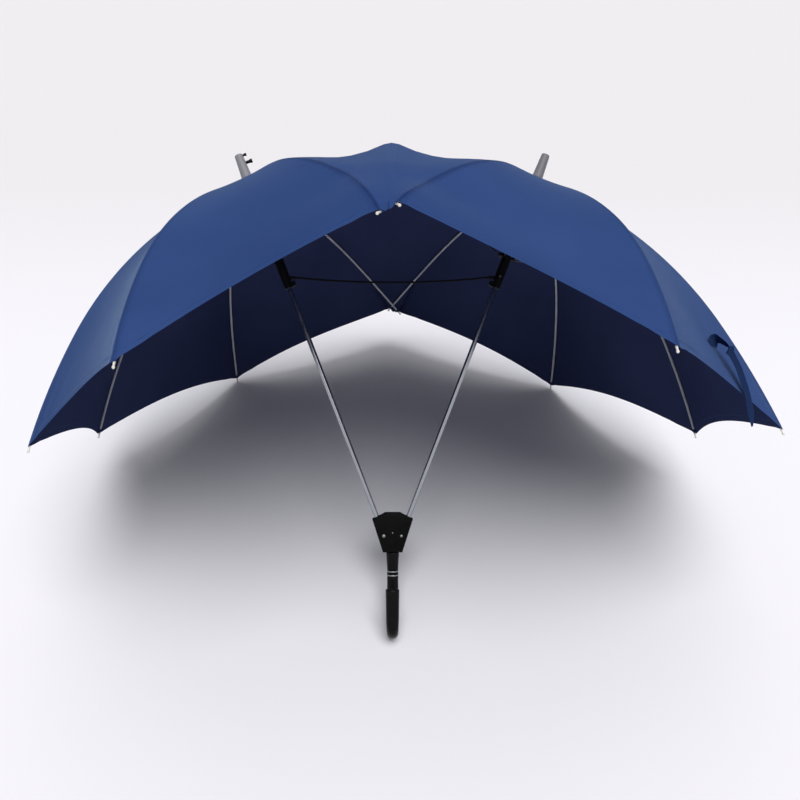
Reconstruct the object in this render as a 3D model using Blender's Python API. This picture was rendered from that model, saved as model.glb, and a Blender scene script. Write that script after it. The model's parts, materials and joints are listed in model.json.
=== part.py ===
"""Couples umbrella: two canopies on two splayed shafts that share one bracket and one hook handle.

The umbrella is drawn with its handle upright: X runs from the left crown to the right one, Y runs
away from the photographer and Z runs up the handle. The origin of that drawing frame lies midway
between the two shaft pivots. One empty, the stance, then leans the finished umbrella back until it
stands on the hook and on the two rear corner ribs. Lengths are metres, angles are degrees.
"""
import math

import bmesh
import bpy
from mathutils import Matrix, Vector

# The rib length is the umbrella's main size; other long measures are shares of it
rib_length = 0.570

# Shafts and their splay
pivot_half_gap = 0.01454
crown_share = 1.09526
pivot_to_crown = rib_length * crown_share
splay_open_deg = 20.93
shaft_dia = 0.008
shaft_wall = 0.0008
shaft_below_pivot = 0.009
pivot_pin_dia = 0.0036
pin_fit = 0.0003
seat_gap = 0.0003
cut_overrun = 0.002

# Crown hub, the same on both shafts
hinge_radius = 0.010
hub_radius = 0.0128
hub_below = 0.004
hub_above = 0.0045
slot_width = 0.0028
slot_floor_radius = 0.0063
cap_neck_radius = 0.0086
cap_radius = 0.009
cap_neck_height = 0.010
cap_height = 0.014

# Finials
finial_length = 0.0428
finial_width = 0.018
finial_top_width = 0.0136
finial_depth = 0.0204
finial_top_depth = 0.0145
finial_skirt = 0.004
skirt_thickness = 0.0007
skirt_spread_deg = 48.0
knob_radius = 0.0025
knob_stem_radius = 0.0012
knob_stem_length = 0.0035
knob_height = 0.0395
peg_stem_radius = 0.0022
peg_stem_length = 0.0085
peg_head_radius = 0.0035
peg_head_length = 0.0025
peg_height = 0.0262

# Runners, with depths measured down from the hinge plane of the crown
ring_depth_share = 0.22456
ring_depth = rib_length * ring_depth_share
ring_radius = 0.0128
travel_share = 0.57018
runner_travel = rib_length * travel_share
flange_radius = 0.0142
flange_above = 0.0024
flange_below = 0.0026
ring_slot_floor = 0.0101
runner_radius = 0.0078
runner_end_radius = 0.0070
runner_top_above = 0.0036
runner_below_ring = 0.055
runner_bottom_depth = ring_depth + runner_below_ring
runner_bore_gap = 0.0004
boss_above_bottom = 0.0186
boss_depth = runner_bottom_depth - boss_above_bottom
boss_radius = 0.0027
boss_reach = 0.0184
housing_height = 0.0083
housing_foot_step = 0.0005
housing_top_depth = runner_bottom_depth - housing_foot_step - housing_height
housing_half_width = 0.0042
housing_reach = 0.0114
latch_width = 0.0050
latch_height = 0.0060
latch_above_bottom = 0.0046
latch_depth = runner_bottom_depth - latch_above_bottom
latch_inner = 0.0097
latch_reach = 0.0129
latch_travel = 0.002
latch_floor_gap = 0.0004
rivet_above_bottom = 0.020
rivet_depth = runner_bottom_depth - rivet_above_bottom
rivet_radius = 0.0020
rivet_height = 0.0007
rivet_stem_radius = 0.0010
rivet_stem_length = 0.0015

# Ribs: pressed steel channel, ball at the free end
rib_half_width = 0.0016
rib_half_height = 0.0013
rib_sheet = 0.00055
rib_root_half_width = 0.0011
rib_root_back = 0.0016
rib_root_length = 0.008
rib_flare_length = 0.004
rib_ball_radius = 0.0020
rib_tip_taper = 0.030
rib_station_shares = (0.085, 0.172, 0.27, 0.38, 0.50, 0.62, 0.74, 0.86, 0.95)
joint_drop = 0.0023
joint_lug_length = 0.0034
joint_lug_foot = 0.0034
joint_pin_radius = 0.0009
joint_head_radius = 0.0017
joint_head_length = 0.0006

# Stretchers
stretcher_half_thickness = 0.0009
stretcher_half_height = 0.0013
stretcher_end_half_height = 0.0010
eyelet_radius = 0.0026
eyelet_bore_gap = 0.0003
eyelet_side_gap = 0.00035
straight_share = 0.26
stretcher_shares = (0.0, 0.26, 0.6, 0.985, 1.0)

# Short ridge battens
batten_share = 0.44035
batten_length = rib_length * batten_share
batten_radius = 0.0013
batten_ball_radius = 0.0016

# Bend of each rib family: azimuth from the inward side, then the slope below the hinge plane at
# the root, at one third, at two thirds and at the free end
family_azimuth_deg = {"centre": 69.5, "corner": 114.0, "end": 157.5, "batten": 22.5}
family_slope_deg = {
    "centre": (4.7, 19.2, 33.2, 37.2),
    "corner": (4.7, 20.6, 37.0, 49.0),
    "end": (3.8, 23.9, 41.4, 50.2),
    "batten": (8.5, 14.0, 16.0, 16.0),
}
# Each rib as it sits in the photographed umbrella: turn about the shaft, droop and extra curl
rib_set_deg = {
    ("left", "front_centre"): (0.3, -0.6, 1.5),
    ("left", "front_corner"): (0.0, 1.7, 2.2),
    ("left", "front_end"): (-0.6, 2.6, 5.2),
    ("left", "rear_end"): (-1.0, -0.2, -1.0),
    ("left", "rear_corner"): (0.0, -1.4, 0.3),
    ("left", "rear_centre"): (0.4, 0.45, -1.4),
    ("right", "front_centre"): (0.3, 0.35, 1.5),
    ("right", "front_corner"): (-0.2, -0.7, -0.9),
    ("right", "front_end"): (0.2, -2.2, -2.7),
    ("right", "rear_end"): (1.3, -0.5, -2.1),
    ("right", "rear_corner"): (1.0, 0.4, -1.4),
    ("right", "rear_centre"): (0.4, -0.45, -1.4),
    ("left", "front_batten"): (0.0, -0.85, 0.0),
    ("left", "rear_batten"): (0.0, 0.85, 0.0),
    ("right", "front_batten"): (0.0, 0.85, 0.0),
    ("right", "rear_batten"): (0.0, -0.85, 0.0),
}
# Radius at which each rib's tip lies beside the shaft when folded
tip_closed_radius = 0.013
upper_tip_closed_radius = 0.018
lower_tip_closed_radius = 0.0128
upper_batten_closed_radius = 0.024
upper_sets = {("left", "front"), ("right", "rear")}

# Bracket at the foot of the shafts
plate_gap = 0.009
plate_thickness = 0.0035
plate_bevel = 0.0007
plate_half_widths = (0.0125, 0.020, 0.034, 0.016)
plate_top_heights = (0.0382, 0.034, 0.0282)
plate_foot_drop = 0.0274
web_half_width_top = 0.0098
web_half_width_low = 0.0066
web_top = 0.0340
web_step = 0.014
rivet_head_length = 0.0012
left_rivet_head_radius = 0.0029
right_rivet_head_radius = 0.0024
screw_height = 0.005
screw_head_radius = 0.0011
screw_head_length = 0.0006
screw_shank_radius = 0.0007
screw_shank_length = 0.0025

# Neck, collar rings and hook grip
neck_top_radius = 0.01065
neck_low_radius = 0.00915
neck_drop = 0.0578
collar_radius = 0.00915
collar_core_radius = 0.006
ring_band_height = 0.0016
ring_band_radius = 0.0097
upper_ring_drop = 0.0593
lower_ring_drop = 0.0657
grip_half_width = 0.0093
grip_half_depth = 0.0091
grip_end_half_width = 0.0110
grip_end_half_depth = 0.0098
hook_radius = 0.025
hook_centre_drop = 0.130
hook_tip_drop = 0.079
grip_fillet = 0.0035

# Cloth
cloth_thickness = 0.0005
cloth_clearance = 0.00035
cloth_hole_radius = 0.0094
cloth_hub_lift = 0.0042
cloth_lift_run = 0.026
hem_setback = 0.003
rib_hem_setback = {"centre": hem_setback, "corner": 0.0075, "end": 0.0070}
gore_scallop_share = {"front_corner": 0.055, "front_end": 0.066, "rear_end": 0.047,
                      "rear_corner": 0.060, "rear_centre": 0.055}
gore_sag_share = 0.035
rib_cover_half = 0.0028
rib_cover_share = 0.03
split_half_gap = 0.0003
ridge_height_share = 1.08772
ridge_peak_share = 1.09579
ridge_peak_run_share = 0.17193
ridge_flat_share = 0.01404
ridge_join_share = 0.52632
ridge_height = rib_length * ridge_height_share
ridge_peak_height = rib_length * ridge_peak_share
ridge_peak_run = rib_length * ridge_peak_run_share
ridge_flat_run = rib_length * ridge_flat_share
ridge_join_run = rib_length * ridge_join_share
ridge_rib_lift = 0.0032
pocket_share = 0.13158
pocket_run = rib_length * pocket_share

# Cord between the runners
cord_radius = 0.0016
cord_sag = 0.0078
cord_entry_run = 0.012
cord_steps = 30

# Tie strap on the right canopy: rows of place across the gore, place along it, height over the
# cloth and skew of its width, then the way it hangs
strap_width = 0.021
strap_thickness = 0.0010
strap_tip_width = 0.008
strap_rows = (
    (0.590, 0.885, 0.0046, 0.48),
    (0.590, 0.871, 0.0100, 0.48),
    (0.611, 0.899, 0.0175, 0.41),
    (0.632, 0.914, 0.0160, 0.34),
    (0.674, 0.942, 0.0130, 0.19),
    (0.705, 0.972, 0.0084, 0.07),
    (0.722, 0.990, 0.0056, 0.0),
)
strap_row_parts = 2
strap_hang = 0.052
strap_hang_first = (0.20, -0.10, -0.97)
strap_hang_last = (0.12, 0.15, -0.98)

turn_sides = 20
small_sides = 10
hub_sides = 24
tube_sides = 8

RIB_NAMES = ("front_centre", "front_corner", "front_end", "rear_end", "rear_corner", "rear_centre")
BATTEN_NAMES = ("front_batten", "rear_batten")
SIDES = {"left": -1.0, "right": 1.0}

for old in list(bpy.data.objects):
    bpy.data.objects.remove(old, do_unlink=True)


def material(name, rgb, roughness, metallic):
    """One Principled material from a plain sRGB colour."""
    made = bpy.data.materials.new(name)
    made.use_nodes = True
    shader = made.node_tree.nodes["Principled BSDF"]
    linear = [((c / 255.0 + 0.055) / 1.055) ** 2.4 if c > 10 else c / 255.0 / 12.92 for c in rgb]
    shader.inputs["Base Color"].default_value = (linear[0], linear[1], linear[2], 1.0)
    shader.inputs["Roughness"].default_value = roughness
    shader.inputs["Metallic"].default_value = metallic
    made.diffuse_color = (linear[0], linear[1], linear[2], 1.0)
    return made


steel = material("bright steel", (176, 178, 184), 0.28, 1.0)
dark_steel = material("dark steel", (74, 76, 82), 0.35, 1.0)
black_plastic = material("black plastic", (14, 14, 16), 0.35, 0.0)
finial_left_paint = material("silver plastic", (150, 150, 155), 0.4, 0.3)
finial_right_paint = material("grey plastic", (105, 104, 108), 0.4, 0.3)
cloth_blue = material("blue cloth", (60, 85, 140), 0.75, 0.0)
strap_blue = material("strap cloth", (46, 78, 120), 0.8, 0.0)
cord_black = material("black cord", (18, 18, 20), 0.8, 0.0)

stance = bpy.data.objects.new("stance", None)
bpy.context.collection.objects.link(stance)


def place(name, mesh, anchor, paint, smooth_deg=32.0):
    """Make an object of a mesh drawn in the drawing frame, with its origin at the anchor."""
    mesh.transform(Matrix.Translation(-Vector(anchor)))
    mesh.name = name
    mesh.materials.clear()
    mesh.materials.append(paint)
    made = bpy.data.objects.new(name, mesh)
    bpy.context.collection.objects.link(made)
    made.location = anchor
    made.parent = stance
    mesh.shade_smooth()
    mesh.set_sharp_from_angle(angle=math.radians(smooth_deg))
    return made


def finish_mesh(bm):
    """Turn a bmesh into a mesh with its faces pointing out."""
    bmesh.ops.recalc_face_normals(bm, faces=bm.faces)
    mesh = bpy.data.meshes.new("shape")
    bm.to_mesh(mesh)
    bm.free()
    return mesh


def skin(rings, loop=False):
    """Bridge rings of points, all alike in count, and fill both ends unless they close in a loop."""
    bm = bmesh.new()
    rows = [[bm.verts.new(p) for p in ring] for ring in rings]
    count = len(rows[0])
    pairs = list(zip(rows[:-1], rows[1:]))
    if loop:
        pairs.append((rows[-1], rows[0]))
    for low, high in pairs:
        for i in range(count):
            j = (i + 1) % count
            bm.faces.new((low[i], low[j], high[j], high[i]))
    if not loop:
        bm.faces.new(rows[0])
        bm.faces.new(rows[-1])
    return finish_mesh(bm)


def side_axes(axis):
    """Two unit directions square to an axis."""
    axis = axis.normalized()
    first = axis.cross(Vector((0.0, 1.0, 0.0)))
    if first.length < 0.5:
        first = axis.cross(Vector((0.0, 0.0, 1.0)))
    first.normalize()
    return first, axis.cross(first)


def turned(profile, origin, axis, sides, bored):
    """Turn a profile of (radius, height) about an axis; a bored profile is a closed outline."""
    axis = axis.normalized()
    first, second = side_axes(axis)
    rings = []
    for k in range(sides):
        turn = 2.0 * math.pi * k / sides
        out = first * math.cos(turn) + second * math.sin(turn)
        rings.append([origin + out * r + axis * h for r, h in profile])
    if bored:
        return skin(rings, loop=True)
    bm = bmesh.new()
    low = bm.verts.new(origin + axis * profile[0][1])
    high = bm.verts.new(origin + axis * profile[-1][1])
    inner = [[bm.verts.new(p) for p in ring[1:-1]] for ring in rings]
    for k in range(sides):
        here = inner[k]
        there = inner[(k + 1) % sides]
        bm.faces.new((low, here[0], there[0]))
        bm.faces.new((high, there[-1], here[-1]))
        for i in range(len(here) - 1):
            bm.faces.new((here[i], here[i + 1], there[i + 1], there[i]))
    return finish_mesh(bm)


def block(centre, axes, half):
    """A box from its centre, three unit directions and three half sizes."""
    rings = []
    for level in (-1.0, 1.0):
        ring = []
        for a, b in ((-1.0, -1.0), (1.0, -1.0), (1.0, 1.0), (-1.0, 1.0)):
            ring.append(centre + axes[0] * (a * half[0]) + axes[1] * (b * half[1]) + axes[2] * (level * half[2]))
        rings.append(ring)
    return skin(rings)


def ball(centre, radius, sides=10):
    """A turned ball."""
    rows = sides // 2
    profile = []
    for i in range(rows + 1):
        lean = math.pi * i / rows
        profile.append((radius * math.sin(lean), -radius * math.cos(lean)))
    return turned(profile, centre, Vector((0.0, 0.0, 1.0)), sides, False)


def combined(base, tools, operation):
    """Join tools to a mesh, or cut them from it, one after another."""
    holder = bpy.data.objects.new("base", base)
    bpy.context.collection.objects.link(holder)
    for tool in tools:
        helper = bpy.data.objects.new("tool", tool)
        bpy.context.collection.objects.link(helper)
        change = holder.modifiers.new("change", "BOOLEAN")
        change.operation = operation
        change.solver = "EXACT"
        change.object = helper
        graph = bpy.context.evaluated_depsgraph_get()
        result = bpy.data.meshes.new_from_object(holder.evaluated_get(graph))
        holder.modifiers.clear()
        holder.data = result
        bpy.data.objects.remove(helper, do_unlink=True)
    result = holder.data
    bpy.data.objects.remove(holder, do_unlink=True)
    return result


# Directions of each shaft: the pivot, the way up the shaft and the way in towards the other shaft
def shaft_frame(side):
    splay = math.radians(splay_open_deg)
    sign = SIDES[side]
    pivot = Vector((sign * pivot_half_gap, 0.0, 0.0))
    up = Vector((sign * math.sin(splay), 0.0, math.cos(splay)))
    inward = Vector((-sign * math.cos(splay), 0.0, math.sin(splay)))
    return pivot, up, inward, pivot + up * pivot_to_crown


def inward_level(side):
    """The level way from one shaft towards the other."""
    return Vector((-SIDES[side], 0.0, 0.0))


def rib_family(name):
    return name.split("_")[1]


def rib_direction(side, name):
    """The way a rib points in the hinge plane, and the way across it."""
    pivot, up, inward, crown = shaft_frame(side)
    sign = -1.0 if name.startswith("front") else 1.0
    turn = math.radians(family_azimuth_deg[rib_family(name)] + rib_set_deg[side, name][0]) * sign
    out = inward * math.cos(turn) + Vector((0.0, 1.0, 0.0)) * math.sin(turn)
    return out, up.cross(out), sign


def rib_span(name):
    return batten_length if rib_family(name) == "batten" else rib_length


def rib_slope(side, name, s):
    """Slope below the hinge plane, in radians, at a length s along the rib."""
    knots = family_slope_deg[rib_family(name)]
    droop, curl = rib_set_deg[side, name][1:]
    place_on = min(max(s / rib_length * 3.0, 0.0), 3.0)
    k = min(int(place_on), 2)
    base = knots[k] + (knots[k + 1] - knots[k]) * (place_on - k)
    return math.radians(base + droop + curl * (s / rib_length - 0.5))


def rib_curve(side, name, steps=60):
    """Places along a rib in its own fold plane: length, distance out, distance down."""
    span = rib_span(name)
    rows = [(0.0, 0.0, 0.0)]
    for i in range(1, steps + 1):
        s = span * i / steps
        mid = rib_slope(side, name, s - span / steps / 2.0)
        rows.append((s, rows[-1][1] + math.cos(mid) * span / steps, rows[-1][2] + math.sin(mid) * span / steps))
    return rows


def on_curve(rows, s):
    """The place at a length s, read between the rows, or beyond them along the end slope."""
    span = rows[-1][0]
    step = span / (len(rows) - 1)
    k = min(max(int(math.floor(s / step)), 0), len(rows) - 2)
    share = (s - rows[k][0]) / step
    return (rows[k][1] + (rows[k + 1][1] - rows[k][1]) * share,
            rows[k][2] + (rows[k + 1][2] - rows[k][2]) * share)


def rib_point(side, name, rows, s, lift=0.0, across=0.0):
    """A point of the rib at length s, raised square to it and moved across it."""
    pivot, up, inward, crown = shaft_frame(side)
    out, cross, sign = rib_direction(side, name)
    slope = rib_slope(side, name, s)
    a, b = on_curve(rows, s)
    a += hinge_radius + math.sin(slope) * lift
    b -= math.cos(slope) * lift
    return crown + out * a - up * b + cross * across


# Fold of each rib and the place of its stretcher joint, from the closed position
def closed_radius(side, name):
    end = name.split("_")[0]
    upper = (side, end) in upper_sets
    family = rib_family(name)
    if family == "batten":
        return upper_batten_closed_radius if upper else lower_tip_closed_radius
    if family == "centre":
        return upper_tip_closed_radius if upper else lower_tip_closed_radius
    return tip_closed_radius


def fold_angle(side, name, rows):
    """How far the rib folds, so that its tip lies beside the shaft."""
    a, b = rows[-1][1], rows[-1][2]
    reach = math.hypot(a, b)
    return math.acos((closed_radius(side, name) - hinge_radius) / reach) - math.atan2(b, a)


def turned_point(a, b, angle):
    return (a * math.cos(angle) - b * math.sin(angle), a * math.sin(angle) + b * math.cos(angle))


def joint_place(side, name, rows, fold):
    """Length along the rib where the stretcher is pinned, so that it closes with the runner."""
    def miss(s):
        a, b = on_curve(rows, s)
        slope = rib_slope(side, name, s)
        a -= math.sin(slope) * joint_drop
        b += math.cos(slope) * joint_drop
        opened = math.hypot(hinge_radius + a - ring_radius, b - ring_depth)
        c, d = turned_point(a, b, fold)
        shut = math.hypot(hinge_radius + c - ring_radius, d - ring_depth - runner_travel)
        return shut - opened
    low, high = rib_length * 0.3, rib_length * 0.55
    for _ in range(60):
        mid = (low + high) / 2.0
        if miss(low) * miss(mid) <= 0.0:
            high = mid
        else:
            low = mid
    return (low + high) / 2.0


# Shafts, crowns, caps, finials and runners
def build_side(side):
    pivot, up, inward, crown = shaft_frame(side)
    front = Vector((0.0, -1.0, 0.0))
    shaft_radius = shaft_dia / 2.0
    bore = shaft_radius - shaft_wall
    top = pivot_to_crown + cap_height - seat_gap
    tube = turned([(bore, -shaft_below_pivot), (shaft_radius, -shaft_below_pivot), (shaft_radius, top), (bore, top)],
                  pivot, up, turn_sides, True)
    hole_radius = pivot_pin_dia / 2.0 + pin_fit
    reach = shaft_dia
    drill = turned([(0.0, -reach), (hole_radius, -reach), (hole_radius, reach), (0.0, reach)],
                   pivot, front, 16, False)
    tube = combined(tube, [drill], "DIFFERENCE")
    place("shaft_" + side, tube, pivot, steel)

    fit = shaft_radius + pin_fit
    hub = turned([(fit, -hub_below), (hub_radius, -hub_below), (hub_radius, hub_above), (fit, hub_above)],
                 crown, up, hub_sides, True)
    slots = []
    for name in RIB_NAMES + BATTEN_NAMES:
        out, cross, sign = rib_direction(side, name)
        middle = (slot_floor_radius + hub_radius + cut_overrun) / 2.0
        half = (hub_radius + cut_overrun - slot_floor_radius) / 2.0
        tall = hub_above + hub_below
        slots.append(block(crown + out * middle, (out, cross, up), (half, slot_width / 2.0, tall)))
    place("crown_" + side, combined(hub, slots, "DIFFERENCE"), crown, black_plastic)

    base = hub_above + seat_gap
    cap = turned([(fit, base), (cap_neck_radius, base), (cap_neck_radius, cap_neck_height),
                  (cap_radius, cap_neck_height), (cap_radius, cap_height), (fit, cap_height)],
                 crown, up, turn_sides, True)
    place("crown_cap_" + side, cap, crown, black_plastic)
    build_finial(side, crown, up, inward)
    build_runner(side, crown, up, inward, front)


def build_finial(side, crown, up, inward):
    """A rounded block with a flatter back and a curved skirt that hangs before the cap."""
    front = Vector((0.0, -1.0, 0.0))
    foot = crown + up * (cap_height + seat_gap)
    levels = 8
    rings = []
    for i in range(levels + 1):
        share = i / levels
        height = finial_length * share
        dome = 1.0 if share < 0.84 else math.sqrt(max(1.0 - ((share - 0.84) / 0.172) ** 2, 0.02))
        half_w = (finial_width + (finial_top_width - finial_width) * share) / 2.0 * dome
        half_d = (finial_depth + (finial_top_depth - finial_depth) * share) / 2.0 * dome
        ring = []
        for k in range(turn_sides):
            turn = 2.0 * math.pi * k / turn_sides
            c, s = math.cos(turn), math.sin(turn)
            power = 0.62 if s < 0.0 else 0.86
            x = math.copysign(abs(c) ** power, c) * half_w
            y = math.copysign(abs(s) ** power, s) * half_d
            ring.append(foot + inward * x + front * y + up * height)
        rings.append(ring)
    body = skin(rings)
    skirt = []
    for i in range(9):
        turn = math.radians(skirt_spread_deg) * (i / 4.0 - 1.0)
        spoke = front * math.cos(turn) + inward * math.sin(turn)
        tuck = math.cos(math.radians(90.0) * (i / 4.0 - 1.0))
        low = up * (-finial_skirt * (0.25 + 0.75 * tuck))
        high = up * (finial_skirt * 0.6)
        near = foot + spoke * (cap_radius + pin_fit)
        far = foot + spoke * (cap_radius + pin_fit + skirt_thickness)
        skirt.append([near + low, far + low, far + high, near + high])
    body = combined(body, [skin(skirt)], "UNION")
    paint = finial_left_paint if side == "left" else finial_right_paint
    place("finial_" + side, body, foot, paint, 40.0)
    if side != "left":
        return
    for label, height, stem, stem_length, head, head_length in (
            ("finial_knob_left", knob_height, knob_stem_radius, knob_stem_length, knob_radius, knob_radius),
            ("finial_peg_left", peg_height, peg_stem_radius, peg_stem_length, peg_head_radius, peg_head_length)):
        share = height / finial_length
        wall = (finial_width + (finial_top_width - finial_width) * share) / 2.0
        root = foot + up * height + inward * (wall + seat_gap)
        end = stem_length + head_length
        edge = head - head_length * 0.3
        shape = turned([(0.0, 0.0), (stem, 0.0), (stem, stem_length), (edge, stem_length),
                        (head, stem_length + head_length * 0.3), (head, end - head_length * 0.3),
                        (edge, end), (0.0, end)], root, inward, 16, False)
        place(label, shape, root, black_plastic)


def build_runner(side, crown, up, inward, front):
    down = -up
    bore = shaft_dia / 2.0 + runner_bore_gap
    top = ring_depth - flange_above - runner_top_above
    body = turned([(bore, top), (runner_radius, top), (runner_radius, ring_depth - flange_above),
                   (flange_radius, ring_depth - flange_above), (flange_radius, ring_depth + flange_below),
                   (runner_radius, ring_depth + flange_below), (runner_radius, boss_depth),
                   (runner_end_radius, runner_bottom_depth), (bore, runner_bottom_depth)],
                  crown, down, turn_sides, True)
    wall = (bore + runner_end_radius) / 2.0
    boss = turned([(0.0, wall), (boss_radius, wall), (boss_radius, boss_reach), (0.0, boss_reach)],
                  crown + down * boss_depth, inward_level(side), small_sides, False)
    high = housing_height
    housing = block(crown + down * (housing_top_depth + high / 2.0) + inward * (wall + housing_reach) / 2.0,
                    (inward, front, up), ((housing_reach - wall) / 2.0, housing_half_width, high / 2.0))
    body = combined(body, [boss, housing], "UNION")
    cuts = []
    for name in RIB_NAMES:
        out, cross, sign = rib_direction(side, name)
        middle = (ring_slot_floor + flange_radius + cut_overrun) / 2.0
        half = (flange_radius + cut_overrun - ring_slot_floor) / 2.0
        tall = flange_above + flange_below
        cuts.append(block(crown + down * ring_depth + out * middle, (out, cross, up), (half, slot_width / 2.0, tall)))
    floor = latch_inner - latch_travel - latch_floor_gap
    pocket_end = latch_reach + cut_overrun
    pocket_half = (latch_width / 2.0 + pin_fit, latch_height / 2.0 + pin_fit)
    cuts.append(block(crown + down * latch_depth + inward * (floor + pocket_end) / 2.0, (inward, front, up),
                      ((pocket_end - floor) / 2.0, pocket_half[0], pocket_half[1])))
    rivet_way = front if side == "right" else -front
    hole = rivet_stem_radius + pin_fit
    depth = rivet_stem_length + seat_gap
    cuts.append(turned([(0.0, runner_radius - depth), (hole, runner_radius - depth),
                        (hole, flange_radius), (0.0, flange_radius)],
                       crown + down * rivet_depth, rivet_way, small_sides, False))
    body = combined(body, cuts, "DIFFERENCE")
    place("runner_" + side, body, crown + down * ring_depth, black_plastic)

    latch = block(crown + down * latch_depth + inward * (latch_inner + latch_reach) / 2.0, (inward, front, up),
                  ((latch_reach - latch_inner) / 2.0, latch_width / 2.0, latch_height / 2.0))
    place("latch_" + side, latch, crown + down * latch_depth + inward * latch_reach, black_plastic)

    start = runner_radius + seat_gap
    rivet = turned([(0.0, start - rivet_stem_length), (rivet_stem_radius, start - rivet_stem_length),
                    (rivet_stem_radius, start), (rivet_radius, start), (rivet_radius * 0.8, start + rivet_height),
                    (0.0, start + rivet_height)], crown + down * rivet_depth, rivet_way, small_sides, False)
    place("runner_rivet_" + side, rivet, crown + down * rivet_depth + rivet_way * start, steel)


# Ribs, stretchers and battens
def channel_section(half_width, half_height, sheet):
    inner = half_width - sheet
    ceiling = half_height - sheet
    return ((-half_width, -half_height), (-half_width, half_height), (half_width, half_height),
            (half_width, -half_height), (inner, -half_height), (inner, ceiling),
            (-inner, ceiling), (-inner, -half_height))


def build_rib(side, name):
    pivot, up, inward, crown = shaft_frame(side)
    out, cross, sign = rib_direction(side, name)
    rows = rib_curve(side, name)
    fold = fold_angle(side, name, rows)
    joint = joint_place(side, name, rows, fold)
    flare = rib_root_length + rib_flare_length
    taper = rib_length - rib_tip_taper
    places = [-rib_root_back, 0.0, rib_root_length, flare]
    places += [rib_length * share for share in rib_station_shares]
    places.append(rib_length)
    rings = []
    for s in places:
        width = rib_half_width
        if s <= rib_root_length:
            width = rib_root_half_width
        if s > taper:
            width = rib_half_width + (rib_root_half_width - rib_half_width) * (s - taper) / rib_tip_taper
        ring = []
        for v, n in channel_section(width, rib_half_height, rib_sheet):
            ring.append(rib_point(side, name, rows, s, n, v))
        rings.append(ring)
    body = skin(rings)
    tip = rib_point(side, name, rows, rib_length)
    centre = rib_point(side, name, rows, joint, -joint_drop)
    side_way = cross * sign
    slope = rib_slope(side, name, joint)
    along = out * math.cos(slope) - up * math.sin(slope)
    normal = out * math.sin(slope) + up * math.cos(slope)
    lug_half = (joint_lug_foot - rib_half_height * 0.3) / 2.0
    lug = block(rib_point(side, name, rows, joint, -joint_lug_foot + lug_half), (along, cross, normal),
                (joint_lug_length / 2.0, rib_half_width * 0.96, lug_half))
    start = rib_half_width * 0.5
    reach = rib_half_width + eyelet_side_gap * 2.0 + stretcher_half_thickness * 2.0
    pin = turned([(0.0, start), (joint_pin_radius, start), (joint_pin_radius, reach), (joint_head_radius, reach),
                  (joint_head_radius, reach + joint_head_length), (0.0, reach + joint_head_length)],
                 centre, side_way, 6, False)
    body = combined(body, [ball(tip, rib_ball_radius, 8), lug, pin], "UNION")
    hinge = crown + out * hinge_radius
    place("rib_" + side + "_" + name, body, hinge, steel)
    build_stretcher(side, name, rows, joint)


def build_stretcher(side, name, rows, joint):
    pivot, up, inward, crown = shaft_frame(side)
    out, cross, sign = rib_direction(side, name)
    offset = rib_half_width + eyelet_side_gap + stretcher_half_thickness
    start = rib_point(side, name, rows, joint, -joint_drop)
    end = crown + out * ring_radius - up * ring_depth
    along = end - start
    span = along.length
    along.normalize()
    rise = along.cross(cross)
    rise.normalize()
    if rise.dot(up) < 0.0:
        rise.negate()
    rings = []
    steps = len(stretcher_shares) - 1
    for i, share in enumerate(stretcher_shares):
        t = eyelet_radius * 0.6 + (span - eyelet_radius * 0.6) * share
        slide = 1.0 if share < straight_share else (1.0 - share) / (1.0 - straight_share)
        half_h = stretcher_half_height
        if i == steps:
            half_h = stretcher_end_half_height * 0.6
            t = span + stretcher_end_half_height
        elif i == steps - 1:
            half_h = stretcher_end_half_height
            t = span
        centre = start + along * t + cross * (sign * offset * slide)
        ring = []
        for k in range(tube_sides):
            turn = 2.0 * math.pi * (k + 0.5) / tube_sides
            ring.append(centre + cross * (math.cos(turn) * stretcher_half_thickness)
                        + rise * (math.sin(turn) * half_h))
        rings.append(ring)
    body = skin(rings)
    half = stretcher_half_thickness * 0.92
    bore = joint_pin_radius + eyelet_bore_gap
    middle = start + cross * (sign * offset)
    eyelet = turned([(0.0, -half), (eyelet_radius, -half), (eyelet_radius, half), (0.0, half)],
                    middle, cross, small_sides, False)
    body = combined(body, [eyelet], "UNION")
    deep = stretcher_half_thickness + cut_overrun
    drill = turned([(0.0, -deep), (bore, -deep), (bore, deep), (0.0, deep)], middle, cross, 8, False)
    body = combined(body, [drill], "DIFFERENCE")
    place("stretcher_" + side + "_" + name, body, middle, dark_steel)


def build_batten(side, name):
    pivot, up, inward, crown = shaft_frame(side)
    out, cross, sign = rib_direction(side, name)
    rows = rib_curve(side, name)
    places = [-rib_root_back, 0.0, rib_root_length, rib_root_length + rib_flare_length]
    first = places[-1]
    places += [first + (batten_length - first) * i / 5.0 for i in range(1, 6)]
    rings = []
    for s in places:
        half = min(batten_radius, rib_root_half_width) if s <= rib_root_length else batten_radius
        ring = []
        for k in range(tube_sides):
            turn = 2.0 * math.pi * (k + 0.5) / tube_sides
            ring.append(rib_point(side, name, rows, s, math.sin(turn) * batten_radius, math.cos(turn) * half))
        rings.append(ring)
    body = combined(skin(rings), [ball(rib_point(side, name, rows, batten_length), batten_ball_radius, 8)], "UNION")
    short = name.split("_")[0]
    place("batten_" + side + "_" + short, body, crown + out * hinge_radius, steel)


# Bracket, pins, neck, rings and grip
def plate_outline(scale_y):
    right = list(zip(plate_half_widths, plate_top_heights + (-plate_foot_drop,)))
    left = [(-w, h) for w, h in reversed(right)]
    return [Vector((w, scale_y, h)) for w, h in right + left]


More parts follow.
